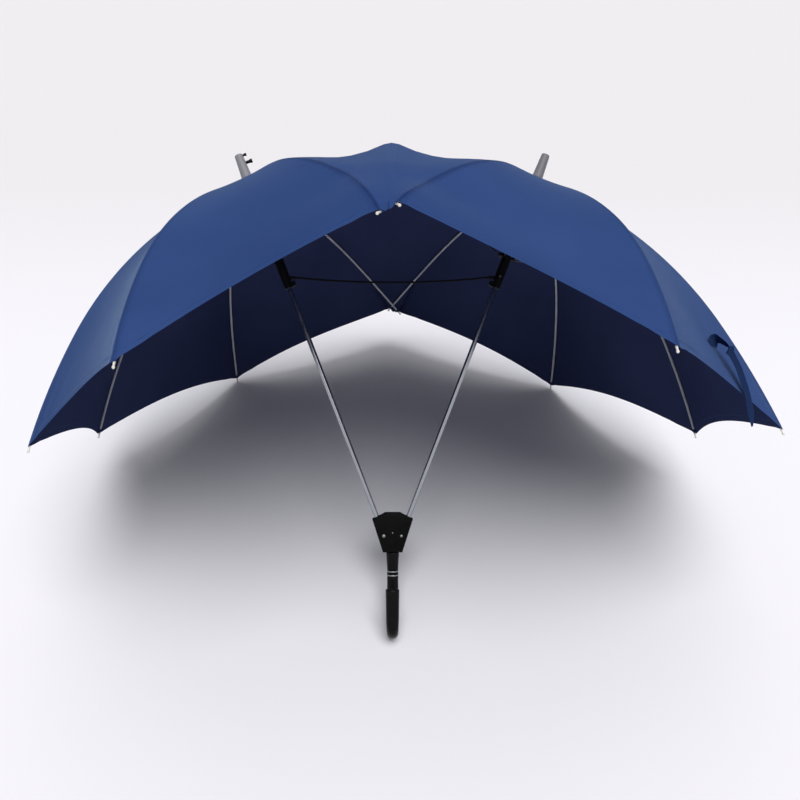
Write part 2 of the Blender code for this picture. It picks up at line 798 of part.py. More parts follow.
def build_plate(name, face_y, back_y, web):
    body = skin([plate_outline(face_y), plate_outline(back_y)])
    bm = bmesh.new()
    bm.from_mesh(body)
    edges = [e for e in bm.edges if all(abs(v.co.y - face_y) < plate_bevel for v in e.verts)]
    bmesh.ops.bevel(bm, geom=edges, offset=plate_bevel, segments=2, affect="EDGES")
    body = finish_mesh(bm)
    if web:
        body = combined(body, [web], "UNION")
    hole = pivot_pin_dia / 2.0 + pin_fit
    cuts = []
    deep = plate_gap + plate_thickness * 2.0
    for sign in (-1.0, 1.0):
        cuts.append(turned([(0.0, -deep), (hole, -deep), (hole, deep), (0.0, deep)],
                           Vector((sign * pivot_half_gap, 0.0, 0.0)), Vector((0.0, 1.0, 0.0)), 16, False))
    if web:
        radius = screw_shank_radius + pin_fit
        start = Vector((0.0, face_y, screw_height))
        inside = screw_shank_length + seat_gap
        cuts.append(turned([(0.0, -cut_overrun), (radius, -cut_overrun), (radius, inside), (0.0, inside)],
                           start, Vector((0.0, 1.0, 0.0)), small_sides, False))
    body = combined(body, cuts, "DIFFERENCE")
    place(name, body, Vector((0.0, (face_y + back_y) / 2.0, 0.0)), black_plastic)


def build_handle():
    inner = plate_gap / 2.0
    outer = inner + plate_thickness
    low = -plate_foot_drop
    web_back = inner - seat_gap
    outline = ((web_half_width_low, low), (web_half_width_low, web_step), (web_half_width_top, web_top),
               (-web_half_width_top, web_top), (-web_half_width_low, web_step), (-web_half_width_low, low))
    web_front = -inner - plate_thickness / 2.0
    web = skin([[Vector((x, y, z)) for x, z in outline] for y in (web_front, web_back)])
    build_plate("bracket_front", -outer, -inner, web)
    build_plate("bracket_rear", outer, inner, None)

    back = Vector((0.0, 1.0, 0.0))
    pin = pivot_pin_dia / 2.0
    for side, sign in SIDES.items():
        head = left_rivet_head_radius if side == "left" else right_rivet_head_radius
        half = outer + seat_gap
        end = half + rivet_head_length
        edge = head * 0.7
        shape = turned([(0.0, -end), (edge, -end), (head, -half - rivet_head_length * 0.4), (head, -half),
                        (pin, -half), (pin, half), (head, half), (head, half + rivet_head_length * 0.4),
                        (edge, end), (0.0, end)], Vector((sign * pivot_half_gap, 0.0, 0.0)), back, 20, False)
        place("pivot_pin_" + side, shape, Vector((sign * pivot_half_gap, 0.0, 0.0)), steel)

    root = Vector((0.0, -outer - seat_gap, screw_height))
    shape = turned([(0.0, -screw_head_length), (screw_head_radius, -screw_head_length), (screw_head_radius, 0.0),
                    (screw_shank_radius, 0.0), (screw_shank_radius, screw_shank_length), (0.0, screw_shank_length)],
                   root, back, small_sides, False)
    place("bracket_screw", shape, root, steel)

    upright = Vector((0.0, 0.0, 1.0))
    zero = Vector((0.0, 0.0, 0.0))
    neck_top = low - seat_gap
    neck_bottom = -neck_drop
    neck = turned([(0.0, neck_bottom), (neck_low_radius, neck_bottom),
                   (neck_low_radius, neck_bottom + (neck_top - neck_bottom) * 0.12),
                   (neck_top_radius, neck_top - (neck_top - neck_bottom) * 0.10), (neck_top_radius, neck_top),
                   (0.0, neck_top)], zero, upright, turn_sides, False)
    place("handle_neck", neck, Vector((0.0, 0.0, neck_top)), black_plastic)

    half = ring_band_height / 2.0
    upper_ring_height = -upper_ring_drop
    lower_ring_height = -lower_ring_drop
    grip_top = lower_ring_height - half - seat_gap
    collar_top = neck_bottom - seat_gap
    core = collar_core_radius
    upper_low = upper_ring_height - half - seat_gap
    lower_high = lower_ring_height + half + seat_gap
    collar = turned([(0.0, grip_top + seat_gap), (core, grip_top + seat_gap), (core, lower_high),
                     (collar_radius, lower_high), (collar_radius, upper_low), (core, upper_low),
                     (core, collar_top), (0.0, collar_top)], zero, upright, turn_sides, False)
    place("handle_collar", collar, Vector((0.0, 0.0, collar_top)), black_plastic)
    for label, height in (("ring_upper", upper_ring_height), ("ring_lower", lower_ring_height)):
        band = turned([(core + pin_fit, height - half), (ring_band_radius, height - half),
                       (ring_band_radius, height + half), (core + pin_fit, height + half)],
                      zero, upright, turn_sides, True)
        place(label, band, Vector((0.0, 0.0, height)), steel)
    build_grip(grip_top)


def grip_line(grip_top):
    """Centre line of the grip: point and way along it."""
    hook_centre_height = -hook_centre_drop
    hook_tip_height = -hook_tip_drop
    rows = []
    for i in range(3):
        rows.append((Vector((0.0, 0.0, grip_top + (hook_centre_height - grip_top) * i / 2.0)), Vector((0.0, 0.0, -1.0))))
    for i in range(1, 13):
        turn = math.pi * i / 12.0
        centre = Vector((0.0, -hook_radius, hook_centre_height))
        spoke = Vector((0.0, math.cos(turn), -math.sin(turn)))
        rows.append((centre + spoke * hook_radius, Vector((0.0, -math.sin(turn), -math.cos(turn)))))
    end = hook_tip_height - grip_fillet
    for i in range(1, 3):
        height = hook_centre_height + (end - hook_centre_height) * i / 2.0
        rows.append((Vector((0.0, -2.0 * hook_radius, height)), Vector((0.0, 0.0, 1.0))))
    return rows


def build_grip(grip_top):
    rows = grip_line(grip_top)
    last = len(rows) - 1
    rings = []
    ends = [(rows[-1][0] + Vector((0.0, 0.0, grip_fillet * math.sin(a))), rows[-1][1], math.cos(a))
            for a in (math.radians(30.0), math.radians(60.0), math.radians(85.0))]
    sides = 16
    stations = [(p, way, 1.0) for p, way in rows] + ends
    for i, (point, way, shrink) in enumerate(stations):
        share = min(max((i - 2) / (last - 2), 0.0), 1.0)
        half_w = grip_half_width + (grip_end_half_width - grip_half_width) * max(share * 2.0 - 1.0, 0.0)
        half_d = grip_half_depth + (grip_end_half_depth - grip_half_depth) * max(share * 2.0 - 1.0, 0.0)
        half_w -= grip_fillet * (1.0 - shrink)
        half_d -= grip_fillet * (1.0 - shrink)
        across = Vector((1.0, 0.0, 0.0))
        normal = across.cross(way)
        ring = []
        for k in range(sides):
            turn = 2.0 * math.pi * k / sides
            c, s = math.cos(turn), math.sin(turn)
            x = math.copysign(abs(c) ** 0.9, c) * half_w
            y = math.copysign(abs(s) ** 0.9, s) * half_d
            ring.append(point + across * x + normal * y)
        rings.append(ring)
    place("handle_grip", skin(rings), Vector((0.0, 0.0, grip_top)), black_plastic)


# Cloth: one thin shell over each crown, parted at the seam over the handle
def cloth_lift(s, layer):
    hub = cloth_hub_lift * math.exp(-(s / cloth_lift_run) ** 2)
    return rib_half_height + cloth_clearance + hub + layer


curves = {}
for side_name in SIDES:
    for rib_name in RIB_NAMES + BATTEN_NAMES:
        curves[side_name, rib_name] = rib_curve(side_name, rib_name)


def other_side(side):
    return "right" if side == "left" else "left"


def seam_point(side, name, s, layer):
    """Where the cloth lies over a rib; a centre rib's seam ends in the pocket over the other tip."""
    point = rib_point(side, name, curves[side, name], s, cloth_lift(s, layer))
    if rib_family(name) != "centre":
        return point
    end = rib_length - hem_setback
    share = (s - (end - pocket_run)) / pocket_run
    if share <= 0.0:
        return point
    share = min(share, 1.0)
    partner = other_side(side)
    first = rib_point(side, name, curves[side, name], end - pocket_run, cloth_lift(s, layer))
    pocket = rib_point(partner, name, curves[partner, name], end, cloth_lift(s, layer) + rib_sheet)
    upper = (side, name.split("_")[0]) in upper_sets
    own = rib_point(side, name, curves[side, name], s, cloth_lift(s, layer) + rib_sheet)
    blend = share ** (4.0 if upper else 1.4)
    height = own.z + (pocket.z - rib_point(side, name, curves[side, name], end, cloth_lift(s, layer)).z) * blend
    return Vector((first.x + (pocket.x - first.x) * share, own.y + (pocket.y - own.y) * share * share, height))


def cover_way(side):
    """Which way the cross direction of a rib runs along the row of gores."""
    return -SIDES[side]


def gore_point(side, one, two, across, share, layer):
    """A point of the cloth between two neighbouring ribs."""
    bow = 4.0 * across * (1.0 - across)
    start = cloth_hole_radius - hinge_radius
    places = []
    for name in (one, two):
        end = (rib_length - rib_hem_setback[rib_family(name)]) * (1.0 - gore_scallop_share[two] * bow)
        places.append(start + (end - start) * share)
    edge = rib_cover_half * min(share / rib_cover_share, 1.0)
    first = seam_point(side, one, places[0], layer) + rib_direction(side, one)[1] * cover_way(side) * -edge
    second = seam_point(side, two, places[1], layer) + rib_direction(side, two)[1] * cover_way(side) * edge
    point = first.lerp(second, across)
    pivot, up, inward, crown = shaft_frame(side)
    out = (point - crown) - up * (point - crown).dot(up)
    if out.length > hub_radius:
        chord = (second - first).length
        point -= (up * 0.8 + out.normalized() * 0.6) * (gore_sag_share * chord * bow * min(share * 3.0, 1.0))
    return point


def rib_height_at(side, name, y):
    """Height of a centre rib where it passes a given distance to the front or rear."""
    rows = curves[side, name]
    low, high = 0.0, rib_length
    for _ in range(40):
        mid = (low + high) / 2.0
        if abs(rib_point(side, name, rows, mid).y) < abs(y):
            low = mid
        else:
            high = mid
    return rib_point(side, name, rows, low).z


def ridge_z(y, layer):
    """Height of the seam over the handle."""
    run = abs(y)
    name = "front_centre" if y < 0.0 else "rear_centre"
    if run <= ridge_peak_run + ridge_flat_run:
        share = min(run / (ridge_peak_run - ridge_flat_run), 1.0)
        return ridge_height + (ridge_peak_height - ridge_height) * share * share + layer

    def over_ribs(place_y):
        heights = [rib_height_at(s, name, place_y) for s in SIDES]
        return max(heights) + ridge_rib_lift
    if run < ridge_join_run:
        joined = over_ribs(math.copysign(ridge_join_run, y))
        near = ridge_peak_run + ridge_flat_run
        share = (run - near) / (ridge_join_run - near)
        return ridge_peak_height + (joined - ridge_peak_height) * share + layer
    return over_ribs(y) + layer


def crease_point(side, y, layer):
    """Cloth over the upper batten of a pair, mirrored to both sides, at a distance y."""
    end = "front" if y < 0.0 else "rear"
    upper_side = "left" if (("left", end) in upper_sets) else "right"
    name = end + "_batten"
    rows = curves[upper_side, name]
    low, high = 0.0, batten_length
    for _ in range(40):
        mid = (low + high) / 2.0
        if abs(rib_point(upper_side, name, rows, mid).y) < abs(y):
            low = mid
        else:
            high = mid
    lift = batten_radius + cloth_clearance + batten_radius + cloth_hub_lift * math.exp(-(low / cloth_lift_run) ** 2)
    point = rib_point(upper_side, name, rows, low, lift + layer)
    return Vector((SIDES[side] * abs(point.x), y, point.z))


def centre_row(side, rim, edge, layer):
    """Points of the centre panel from its outer edge to the seam over the handle, at one distance y."""
    sign = SIDES[side]
    seam_x = sign * split_half_gap
    y = edge.y
    ridge = Vector((seam_x, y, ridge_z(y, layer)))
    crease = None
    if abs(y) < ridge_peak_run * 0.94:
        crease = crease_point(side, y, layer)
    fold_x = seam_x + (edge.x - seam_x) * 0.06
    if crease is None or abs(crease.x) < abs(fold_x):
        height = ridge.z + (edge.z - ridge.z) * 0.06
        if abs(y) < ridge_peak_run + ridge_flat_run:
            height = max(height, crease_point(side, y, layer).z)
        crease = Vector((fold_x, y, height))
    limit_x = abs(edge.x) * 0.985
    if abs(crease.x) > limit_x:
        crease = Vector((sign * limit_x, y, max(edge.z, crease.z)))
    outer = edge.lerp(crease, 0.5)
    inner = crease.lerp(ridge, 0.5)
    return [rim, edge, outer, crease, inner, ridge]


def lap_points(side, name, shares, layer):
    """The inner edge of the strip of cloth that covers a centre rib."""
    start = cloth_hole_radius - hinge_radius
    end = rib_length - hem_setback
    sign = SIDES[side]
    points = []
    for share in shares:
        edge = rib_cover_half * min(share / rib_cover_share, 1.0)
        way = rib_direction(side, name)[1] * cover_way(side) * (1.0 if name.startswith("front") else -1.0)
        point = seam_point(side, name, start + (end - start) * share, layer) + way * edge
        point.x = sign * max(sign * point.x, split_half_gap * 3.0)
        points.append(point)
    return points


def cloth_layer(side, layer):
    """All points of one face of the cloth, row by row, each row running from the crown outwards."""
    rows = []
    start = cloth_hole_radius - hinge_radius
    end = rib_length - hem_setback
    flare = rib_root_length + rib_flare_length
    places = [start, flare] + [rib_length * share for share in rib_station_shares] + [end]
    shares = [(place_on - start) / (end - start) for place_on in places]
    pairs = list(zip(RIB_NAMES[:-1], RIB_NAMES[1:]))
    parts = 3
    for one, two in pairs:
        for k in range(parts + 1):
            rows.append([gore_point(side, one, two, k / parts, share, layer) for share in shares])
    limit = split_half_gap
    sign = SIDES[side]
    for row in rows:
        for point in row:
            point.x = sign * max(sign * point.x, limit * 2.0)
    pivot, up, inward, crown = shaft_frame(side)
    front_edge = rows[0]
    rear_edge = rows[-1]
    rim = []
    turns = 6
    for i in range(1, turns):
        turn = math.radians(family_azimuth_deg["centre"]) * (2.0 * i / turns - 1.0)
        out = inward * math.cos(turn) + Vector((0.0, 1.0, 0.0)) * math.sin(turn)
        rim.append(crown + out * cloth_hole_radius + up * cloth_lift(start, layer))
    front_lap = lap_points(side, RIB_NAMES[0], shares, layer)
    rear_lap = lap_points(side, RIB_NAMES[-1], shares, layer)
    inner = [centre_row(side, p, q, layer) for p, q in zip(reversed(front_edge), reversed(front_lap))]
    inner += [centre_row(side, p, p, layer) for p in rim]
    inner += [centre_row(side, p, q, layer) for p, q in zip(rear_edge, rear_lap)]
    return rows, inner


def build_cloth(side):
    bm = bmesh.new()
    faces = []
    grids = []
    cuts = {}
    for layer in (0.0, cloth_thickness):
        rows, inner = cloth_layer(side, layer)
        known = {}

        def vert(point):
            key = (round(point.x, 7), round(point.y, 7), round(point.z, 7))
            if key not in known:
                known[key] = bm.verts.new(point)
            return known[key]
        grid = []
        for table in (rows, inner):
            marks = [[vert(p) for p in row] for row in table]
            for a, b in zip(marks[:-1], marks[1:]):
                for i in range(len(a) - 1):
                    quad = []
                    for v in (a[i], a[i + 1], b[i + 1], b[i]):
                        if v not in quad:
                            quad.append(v)
                    if len(quad) == 3:
                        grid.append(tuple(quad))
                    if len(quad) == 4:
                        p, q, r, s = quad
                        spot = len(grid)
                        if layer == 0.0:
                            cuts[spot] = (p.co - r.co).length < (q.co - s.co).length
                        if cuts[spot]:
                            grid += [(p, q, r), (p, r, s)]
                        else:
                            grid += [(p, q, s), (q, r, s)]
        grids.append(grid)
    pairs = {}
    for low, high in zip(grids[0], grids[1]):
        for a, b in zip(low, high):
            pairs[a] = b
    counts = {}
    for quad in grids[0]:
        faces.append(quad)
        for i, a in enumerate(quad):
            b = quad[(i + 1) % len(quad)]
            counts.setdefault(frozenset((a, b)), []).append((a, b))
    for quad in grids[1]:
        faces.append(tuple(reversed(quad)))
    for edge in counts.values():
        if len(edge) == 1:
            a, b = edge[0]
            faces.append((b, a, pairs[a], pairs[b]))
    for face in faces:
        bm.faces.new(face)
    bmesh.ops.recalc_face_normals(bm, faces=bm.faces)
    mesh = finish_mesh(bm)
    pivot, up, inward, crown = shaft_frame(side)
    place("canopy_" + side, mesh, crown, cloth_blue, 60.0)


# Cord between the runners
def boss_end(side):
    pivot, up, inward, crown = shaft_frame(side)
    return crown - up * boss_depth + inward_level(side) * (boss_reach + seat_gap)


def build_cord():
    left = boss_end("left")
    right = boss_end("right")
    points = []
    for i in range(cord_steps + 1):
        share = i / cord_steps
        point = left.lerp(right, share)
        run = min(share, 1.0 - share) * (right - left).length
        ease = 1.0 - math.exp(-(run / cord_entry_run) ** 2)
        point.z -= ease * cord_sag * 4.0 * share * (1.0 - share)
        points.append(point)
    points[0] = left
    points[-1] = right
    line = bpy.data.curves.new("link_cord", "CURVE")
    line.dimensions = "3D"
    line.bevel_depth = cord_radius
    line.bevel_resolution = 2
    line.use_fill_caps = True
    spline = line.splines.new("POLY")
    spline.points.add(len(points) - 1)
    for place_on, point in zip(spline.points, points):
        local = point - left
        place_on.co = (local.x, local.y, local.z, 1.0)
    line.materials.append(cord_black)
    made = bpy.data.objects.new("link_cord", line)
    bpy.context.collection.objects.link(made)
    made.location = left
    made.parent = stance


# Tie strap, sewn to the right canopy's outer gore, arching over the cloth and hanging past the hem
def strap_row(across, share, height, skew):
    """Centre of the strap over the cloth, and the way its width lies there."""
    side, one, two = "right", "front_corner", "front_end"
    low = gore_point(side, one, two, across, share, cloth_thickness)
    wide = (gore_point(side, one, two, across + 0.03, share, cloth_thickness) - low).normalized()
    long = (gore_point(side, one, two, across, share + 0.01, cloth_thickness) - low).normalized()
    lift = wide.cross(long).normalized()
    if lift.dot(low - shaft_frame(side)[3]) < 0.0:
        lift.negate()
    return low + lift * height, (wide + long * skew).normalized()


def rounded_rows(rows, parts):
    """More rows between the given ones, along a smooth line through them."""
    made = []
    for i in range(len(rows) - 1):
        before, here, there, after = (rows[min(max(k, 0), len(rows) - 1)] for k in (i - 1, i, i + 1, i + 2))
        for j in range(parts):
            t = j / parts
            made.append(tuple(
                0.5 * (2.0 * b + (c - a) * t + (2.0 * a - 5.0 * b + 4.0 * c - d) * t * t
                       + (3.0 * b - a - 3.0 * c + d) * t * t * t)
                for a, b, c, d in zip(before, here, there, after)))
    made.append(rows[-1])
    return made


def build_strap():
    lay = [strap_row(*row) for row in rounded_rows(strap_rows, strap_row_parts)]
    last, wide = lay[-1]
    hang = 6
    for i in range(1, hang + 1):
        way = Vector(strap_hang_first).lerp(Vector(strap_hang_last), i / hang).normalized()
        last = last + way * (strap_hang / hang)
        lay.append((last, wide))
    bm = bmesh.new()
    rings = []
    count = len(lay)
    for i, (centre, wide) in enumerate(lay):
        half = (strap_tip_width if i == count - 1 else strap_width) / 2.0
        along = (lay[min(i + 1, count - 1)][0] - lay[max(i - 1, 0)][0]).normalized()
        wide = (wide - along * wide.dot(along)).normalized()
        upper = along.cross(wide).normalized() * (strap_thickness / 2.0)
        corners = (centre - wide * half, centre + wide * half)
        rings.append([bm.verts.new(p - upper) for p in corners] + [bm.verts.new(p + upper) for p in corners])
    for here, there in zip(rings[:-1], rings[1:]):
        for a, b in ((0, 1), (2, 3)):
            bm.faces.new((here[a], here[b], there[a]))
            bm.faces.new((here[b], there[b], there[a]))
        for a, b in ((0, 2), (1, 3)):
            bm.faces.new((here[a], here[b], there[b], there[a]))
    for a, b, c, d in (rings[0], rings[-1]):
        bm.faces.new((a, b, d, c))
    place("tie_strap", finish_mesh(bm), lay[0][0], strap_blue, 60.0)


def stance_matrix():
    """Lean the umbrella until the hook and the two rear corner balls touch one plane."""
    tips = [rib_point(s, "rear_corner", curves[s, "rear_corner"], rib_length) for s in SIDES]
    bend = Vector((0.0, -hook_radius, -hook_centre_drop))
    rise = Vector((0.0, 0.0, 1.0))
    for _ in range(30):
        flat = Vector((0.0, -rise.y, -rise.z)).normalized()
        feet = [bend + flat * hook_radius - rise * grip_half_depth]
        feet += [tip - rise * rib_ball_radius for tip in tips]
        rise = (feet[1] - feet[0]).cross(feet[2] - feet[0]).normalized()
        if rise.z < 0.0:
            rise.negate()
    across = (Vector((1.0, 0.0, 0.0)) - rise * rise.x).normalized()
    back = rise.cross(across)
    return Matrix((across, back, rise)).to_4x4()


lean = stance_matrix()
for side_name in SIDES:
    build_side(side_name)
    for rib_name in RIB_NAMES:
        build_rib(side_name, rib_name)
    for rib_name in BATTEN_NAMES:
        build_batten(side_name, rib_name)
    build_cloth(side_name)
build_handle()
build_cord()
build_strap()

# Stand the umbrella up on the floor, centred over its own footprint
stance.matrix_world = lean
bpy.context.view_layer.update()
graph = bpy.context.evaluated_depsgraph_get()
corners = []
for made in bpy.context.scene.objects:
    if made.type in {"MESH", "CURVE"}:
        shape = made.evaluated_get(graph)
        mesh = shape.to_mesh()
        corners += [made.matrix_world @ v.co for v in mesh.vertices]
        shape.to_mesh_clear()
low = [min(c[i] for c in corners) for i in range(3)]
high = [max(c[i] for c in corners) for i in range(3)]
stance.location = (-(low[0] + high[0]) / 2.0, -(low[1] + high[1]) / 2.0, -low[2])
bpy.context.view_layer.update()
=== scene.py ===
"""Looks of the couples umbrella: cloth, steel, plastic, camera, floor and light.

Shapes are drawn with the handle upright, as the umbrella was designed: X from the left crown to
the right one, Y away from the camera, Z up the handle, the origin midway between the shaft pivots.
The matrix "stance" then leans them back onto the floor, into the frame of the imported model.
"""
import json
import math

import bmesh
import bpy
from mathutils import Matrix, Vector


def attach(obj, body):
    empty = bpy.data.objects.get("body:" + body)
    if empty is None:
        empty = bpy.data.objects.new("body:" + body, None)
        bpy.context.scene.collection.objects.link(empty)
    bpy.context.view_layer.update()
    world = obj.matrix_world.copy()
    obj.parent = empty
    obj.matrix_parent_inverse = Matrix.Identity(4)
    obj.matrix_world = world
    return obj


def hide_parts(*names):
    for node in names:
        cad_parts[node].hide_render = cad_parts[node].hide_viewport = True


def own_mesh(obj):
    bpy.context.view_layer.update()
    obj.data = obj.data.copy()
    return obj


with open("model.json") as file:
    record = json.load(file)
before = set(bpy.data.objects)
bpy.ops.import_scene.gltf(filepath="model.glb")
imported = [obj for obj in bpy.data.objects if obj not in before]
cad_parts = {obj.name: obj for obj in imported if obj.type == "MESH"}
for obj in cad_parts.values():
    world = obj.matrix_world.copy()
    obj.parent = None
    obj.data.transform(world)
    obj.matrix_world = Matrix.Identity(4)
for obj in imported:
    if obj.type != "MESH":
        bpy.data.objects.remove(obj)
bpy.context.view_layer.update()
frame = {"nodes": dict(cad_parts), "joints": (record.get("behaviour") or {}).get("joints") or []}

stance = Matrix((
    (0.99996769, 0.00543154, -0.00592781, -0.00835636),
    (0.0, 0.73729581, 0.67557007, -0.24855876),
    (0.00803994, -0.67554820, 0.73727196, 0.11305390),
    (0.0, 0.0, 0.0, 1.0)))

# Sizes of the umbrella in metres
rib_length = 0.570
pivot_half_gap = 0.01454
pivot_to_crown = rib_length * 1.09526
splay = math.radians(20.93)
shaft_radius = 0.004
shaft_below_pivot = 0.009
hinge_radius = 0.010
hub_radius = 0.0128
cap_height = 0.014
cap_radius = 0.009
seat_gap = 0.0003
ring_depth = rib_length * 0.22456
ring_radius = 0.0128
runner_bottom = ring_depth + 0.055
boss_depth = runner_bottom - 0.0186
boss_reach = 0.0184
batten_length = rib_length * 0.44035
batten_radius = 0.0013
rib_half_height = 0.0013
rib_half_width = 0.0016
rib_sheet = 0.00055
rib_root_half_width = 0.0011
rib_root_back = 0.0016
rib_root_length = 0.008
rib_flare_length = 0.004
rib_tip_taper = 0.030
rib_shoulder = 0.0004
low_run = (0.130, 0.060)
low_top = 0.0005
tip_sleeve = 0.0105
joint_drop = 0.0023
batten_dip = 0.0078
batten_dip_bias = 2.6
panel_sag = 0.0085
lip_drop = 0.0085
stretcher_half_thickness = 0.0009
stretcher_half_height = 0.0013
stretcher_end_half_height = 0.0010
eyelet_radius = 0.0026
eyelet_side_gap = 0.00035
cloth_thickness = 0.0005
cloth_clearance = 0.00035
hub_lift = 0.0042
hub_lift_run = 0.026
hole_radius = 0.0094
hem_setback = 0.003
rib_hem_setback = {"centre": hem_setback, "corner": 0.0075, "end": 0.0070}
gore_scallop = {"front_corner": 0.055, "front_end": 0.066, "rear_end": 0.047,
                "rear_corner": 0.060, "rear_centre": 0.055}
gore_sag = 0.035
rib_cover = 0.0028
cover_share = 0.03
sag_up, sag_out = 0.8, 0.6
ridge_height = rib_length * 1.08772
ridge_peak = rib_length * 1.09579
peak_run = rib_length * 0.17193
flat_run = rib_length * 0.01404
join_run = rib_length * 0.52632
ridge_over_ribs = 0.0032
pocket_run = rib_length * 0.235

RIBS = ("front_centre", "front_corner", "front_end", "rear_end", "rear_corner", "rear_centre")
BATTENS = ("front_batten", "rear_batten")
SIGN = {"left": -1.0, "right": 1.0}
OTHER = {"left": "right", "right": "left"}
azimuth = {"centre": 69.5, "corner": 114.0, "end": 157.5, "batten": 22.5}
slopes = {"centre": (4.7, 19.2, 33.2, 37.2), "corner": (4.7, 20.6, 37.0, 49.0),
          "end": (3.8, 23.9, 41.4, 50.2), "batten": (8.5, 14.0, 16.0, 16.0)}
rib_set = {
    ("left", "front_centre"): (0.3, -0.6, 1.5), ("left", "front_corner"): (0.0, 1.7, 2.2),
    ("left", "front_end"): (-0.6, 2.6, 5.2), ("left", "rear_end"): (-1.0, -0.2, -1.0),
    ("left", "rear_corner"): (0.0, -1.4, 0.3), ("left", "rear_centre"): (0.4, 0.45, -1.4),
    ("right", "front_centre"): (0.3, 0.35, 1.5), ("right", "front_corner"): (-0.2, -0.7, -0.9),
    ("right", "front_end"): (0.2, -2.2, -2.7), ("right", "rear_end"): (1.3, -0.5, -2.1),
    ("right", "rear_corner"): (1.0, 0.4, -1.4), ("right", "rear_centre"): (0.4, -0.45, -1.4),
    ("left", "front_batten"): (0.0, -0.85, 0.0), ("left", "rear_batten"): (0.0, 0.85, 0.0),
    ("right", "front_batten"): (0.0, 0.85, 0.0), ("right", "rear_batten"): (0.0, -0.85, 0.0)}
upper_pair = {("left", "front"), ("right", "rear")}
upright = Vector((0.0, 0.0, 1.0))
rearward = Vector((0.0, 1.0, 0.0))
origin = Vector((0.0, 0.0, 0.0))


def place_camera():
    """The camera of the photograph, in the drawing frame, then leaned with the umbrella."""
    eye = Vector((0.010586, -1.518521, 0.192735))
    yaw, pitch, roll = (math.radians(a) for a in (0.076, 1.22, 0.082))
    sensor, lens_pixels, picture_pixels = 36.0, 910.445, 800.0
    look = Vector((math.sin(yaw) * math.cos(pitch), math.cos(yaw) * math.cos(pitch), math.sin(pitch)))
    right = Vector((math.cos(yaw), -math.sin(yaw), 0.0))
    down = look.cross(right)
    side = right * math.cos(roll) + down * math.sin(roll)
    low = down * math.cos(roll) - right * math.sin(roll)
    turn = Matrix((side, -low, -look)).transposed().to_4x4()
    lens = bpy.data.cameras.new("camera")
    lens.sensor_width = sensor
    lens.lens = sensor * lens_pixels / picture_pixels
    lens.clip_start = 0.05
    lens.clip_end = 60.0
    camera = bpy.data.objects.new("camera", lens)
    bpy.context.collection.objects.link(camera)
    camera.matrix_world = stance @ (Matrix.Translation(eye) @ turn)
    bpy.context.scene.camera = camera


place_camera()


# Shader arithmetic
class Wire:
    """The output of a shader node, with arithmetic that adds Math nodes."""

    def __init__(self, finish, socket):
        self.finish = finish
        self.socket = socket

    def maths(self, operation, *values, **more):
        return self.finish.node("ShaderNodeMath", {"operation": operation, **more}, dict(enumerate(values)))

    def __add__(self, other):
        return self.maths("ADD", self, other)

    def __sub__(self, other):
        return self.maths("SUBTRACT", self, other)

    def __mul__(self, other):
        return self.maths("MULTIPLY", self, other)

    def sine(self):
        return self.maths("SINE", self)

    def held(self):
        """The value kept between nought and one."""
        return self.maths("ADD", self, 0.0, use_clamp=True)


class Finish:
    """A material under construction."""

    def __init__(self, name, **constants):
        self.material = bpy.data.materials.new(name)
        self.material.use_nodes = True
        self.tree = self.material.node_tree
        self.tree.nodes.clear()
        self.shader = self.tree.nodes.new("ShaderNodeBsdfPrincipled")
        out = self.tree.nodes.new("ShaderNodeOutputMaterial")
        self.tree.links.new(self.shader.outputs[0], out.inputs["Surface"])
        self.set(**constants)

    def node(self, kind, settings=None, values=None, out=0):
        """Any node: its settings first, then the values or links of its sockets."""
        made = self.tree.nodes.new(kind)
        for key, value in (settings or {}).items():
            setattr(made, key, value)
        for key, value in (values or {}).items():
            self.feed(made.inputs[key], value)
        return Wire(self, made.outputs[out])

    def feed(self, socket, value):
        if isinstance(value, Wire):
            self.tree.links.new(value.socket, socket)
        else:
            socket.default_value = value

    def set(self, **inputs):
        for key, value in inputs.items():
            self.feed(self.shader.inputs[key.replace("_", " ").title().replace("Ior", "IOR")], value)

    def place(self, scale=(1.0, 1.0, 1.0)):
        """Object coordinates, scaled along each axis."""
        spot = self.node("ShaderNodeTexCoord", out=3)
        return self.node("ShaderNodeMapping", {}, {"Vector": spot, "Scale": scale})

    def cloth_place(self):
        """The two running lengths of the cloth, in metres."""
        spot = self.node("ShaderNodeUVMap", {"uv_map": "weave"})
        split = self.node("ShaderNodeSeparateXYZ", {}, {0: spot})
        return split, Wire(self, split.socket.node.outputs[1])

    def noise(self, scale, detail=2.0, rough=0.5, place=None):
        return self.node("ShaderNodeTexNoise", {}, {"Vector": place or self.place(), "Scale": scale,
                                                    "Detail": detail, "Roughness": rough})

    def mix(self, share, one, two):
        return self.node("ShaderNodeMix", {"data_type": "RGBA"}, {0: share, 6: one, 7: two}, out=2)

    def bump(self, height, strength, distance, normal=None):
        values = {"Height": height, "Strength": strength, "Distance": distance}
        if normal is not None:
            values["Normal"] = normal
        return self.node("ShaderNodeBump", {}, values)


def paint(red, green, blue):
    """A colour as it is written, turned to the light it stands for."""
    tones = []
    for value in (red, green, blue):
        share = value / 255.0
        tones.append(share / 12.92 if share <= 0.04045 else ((share + 0.055) / 1.055) ** 2.4)
    return (tones[0], tones[1], tones[2], 1.0)


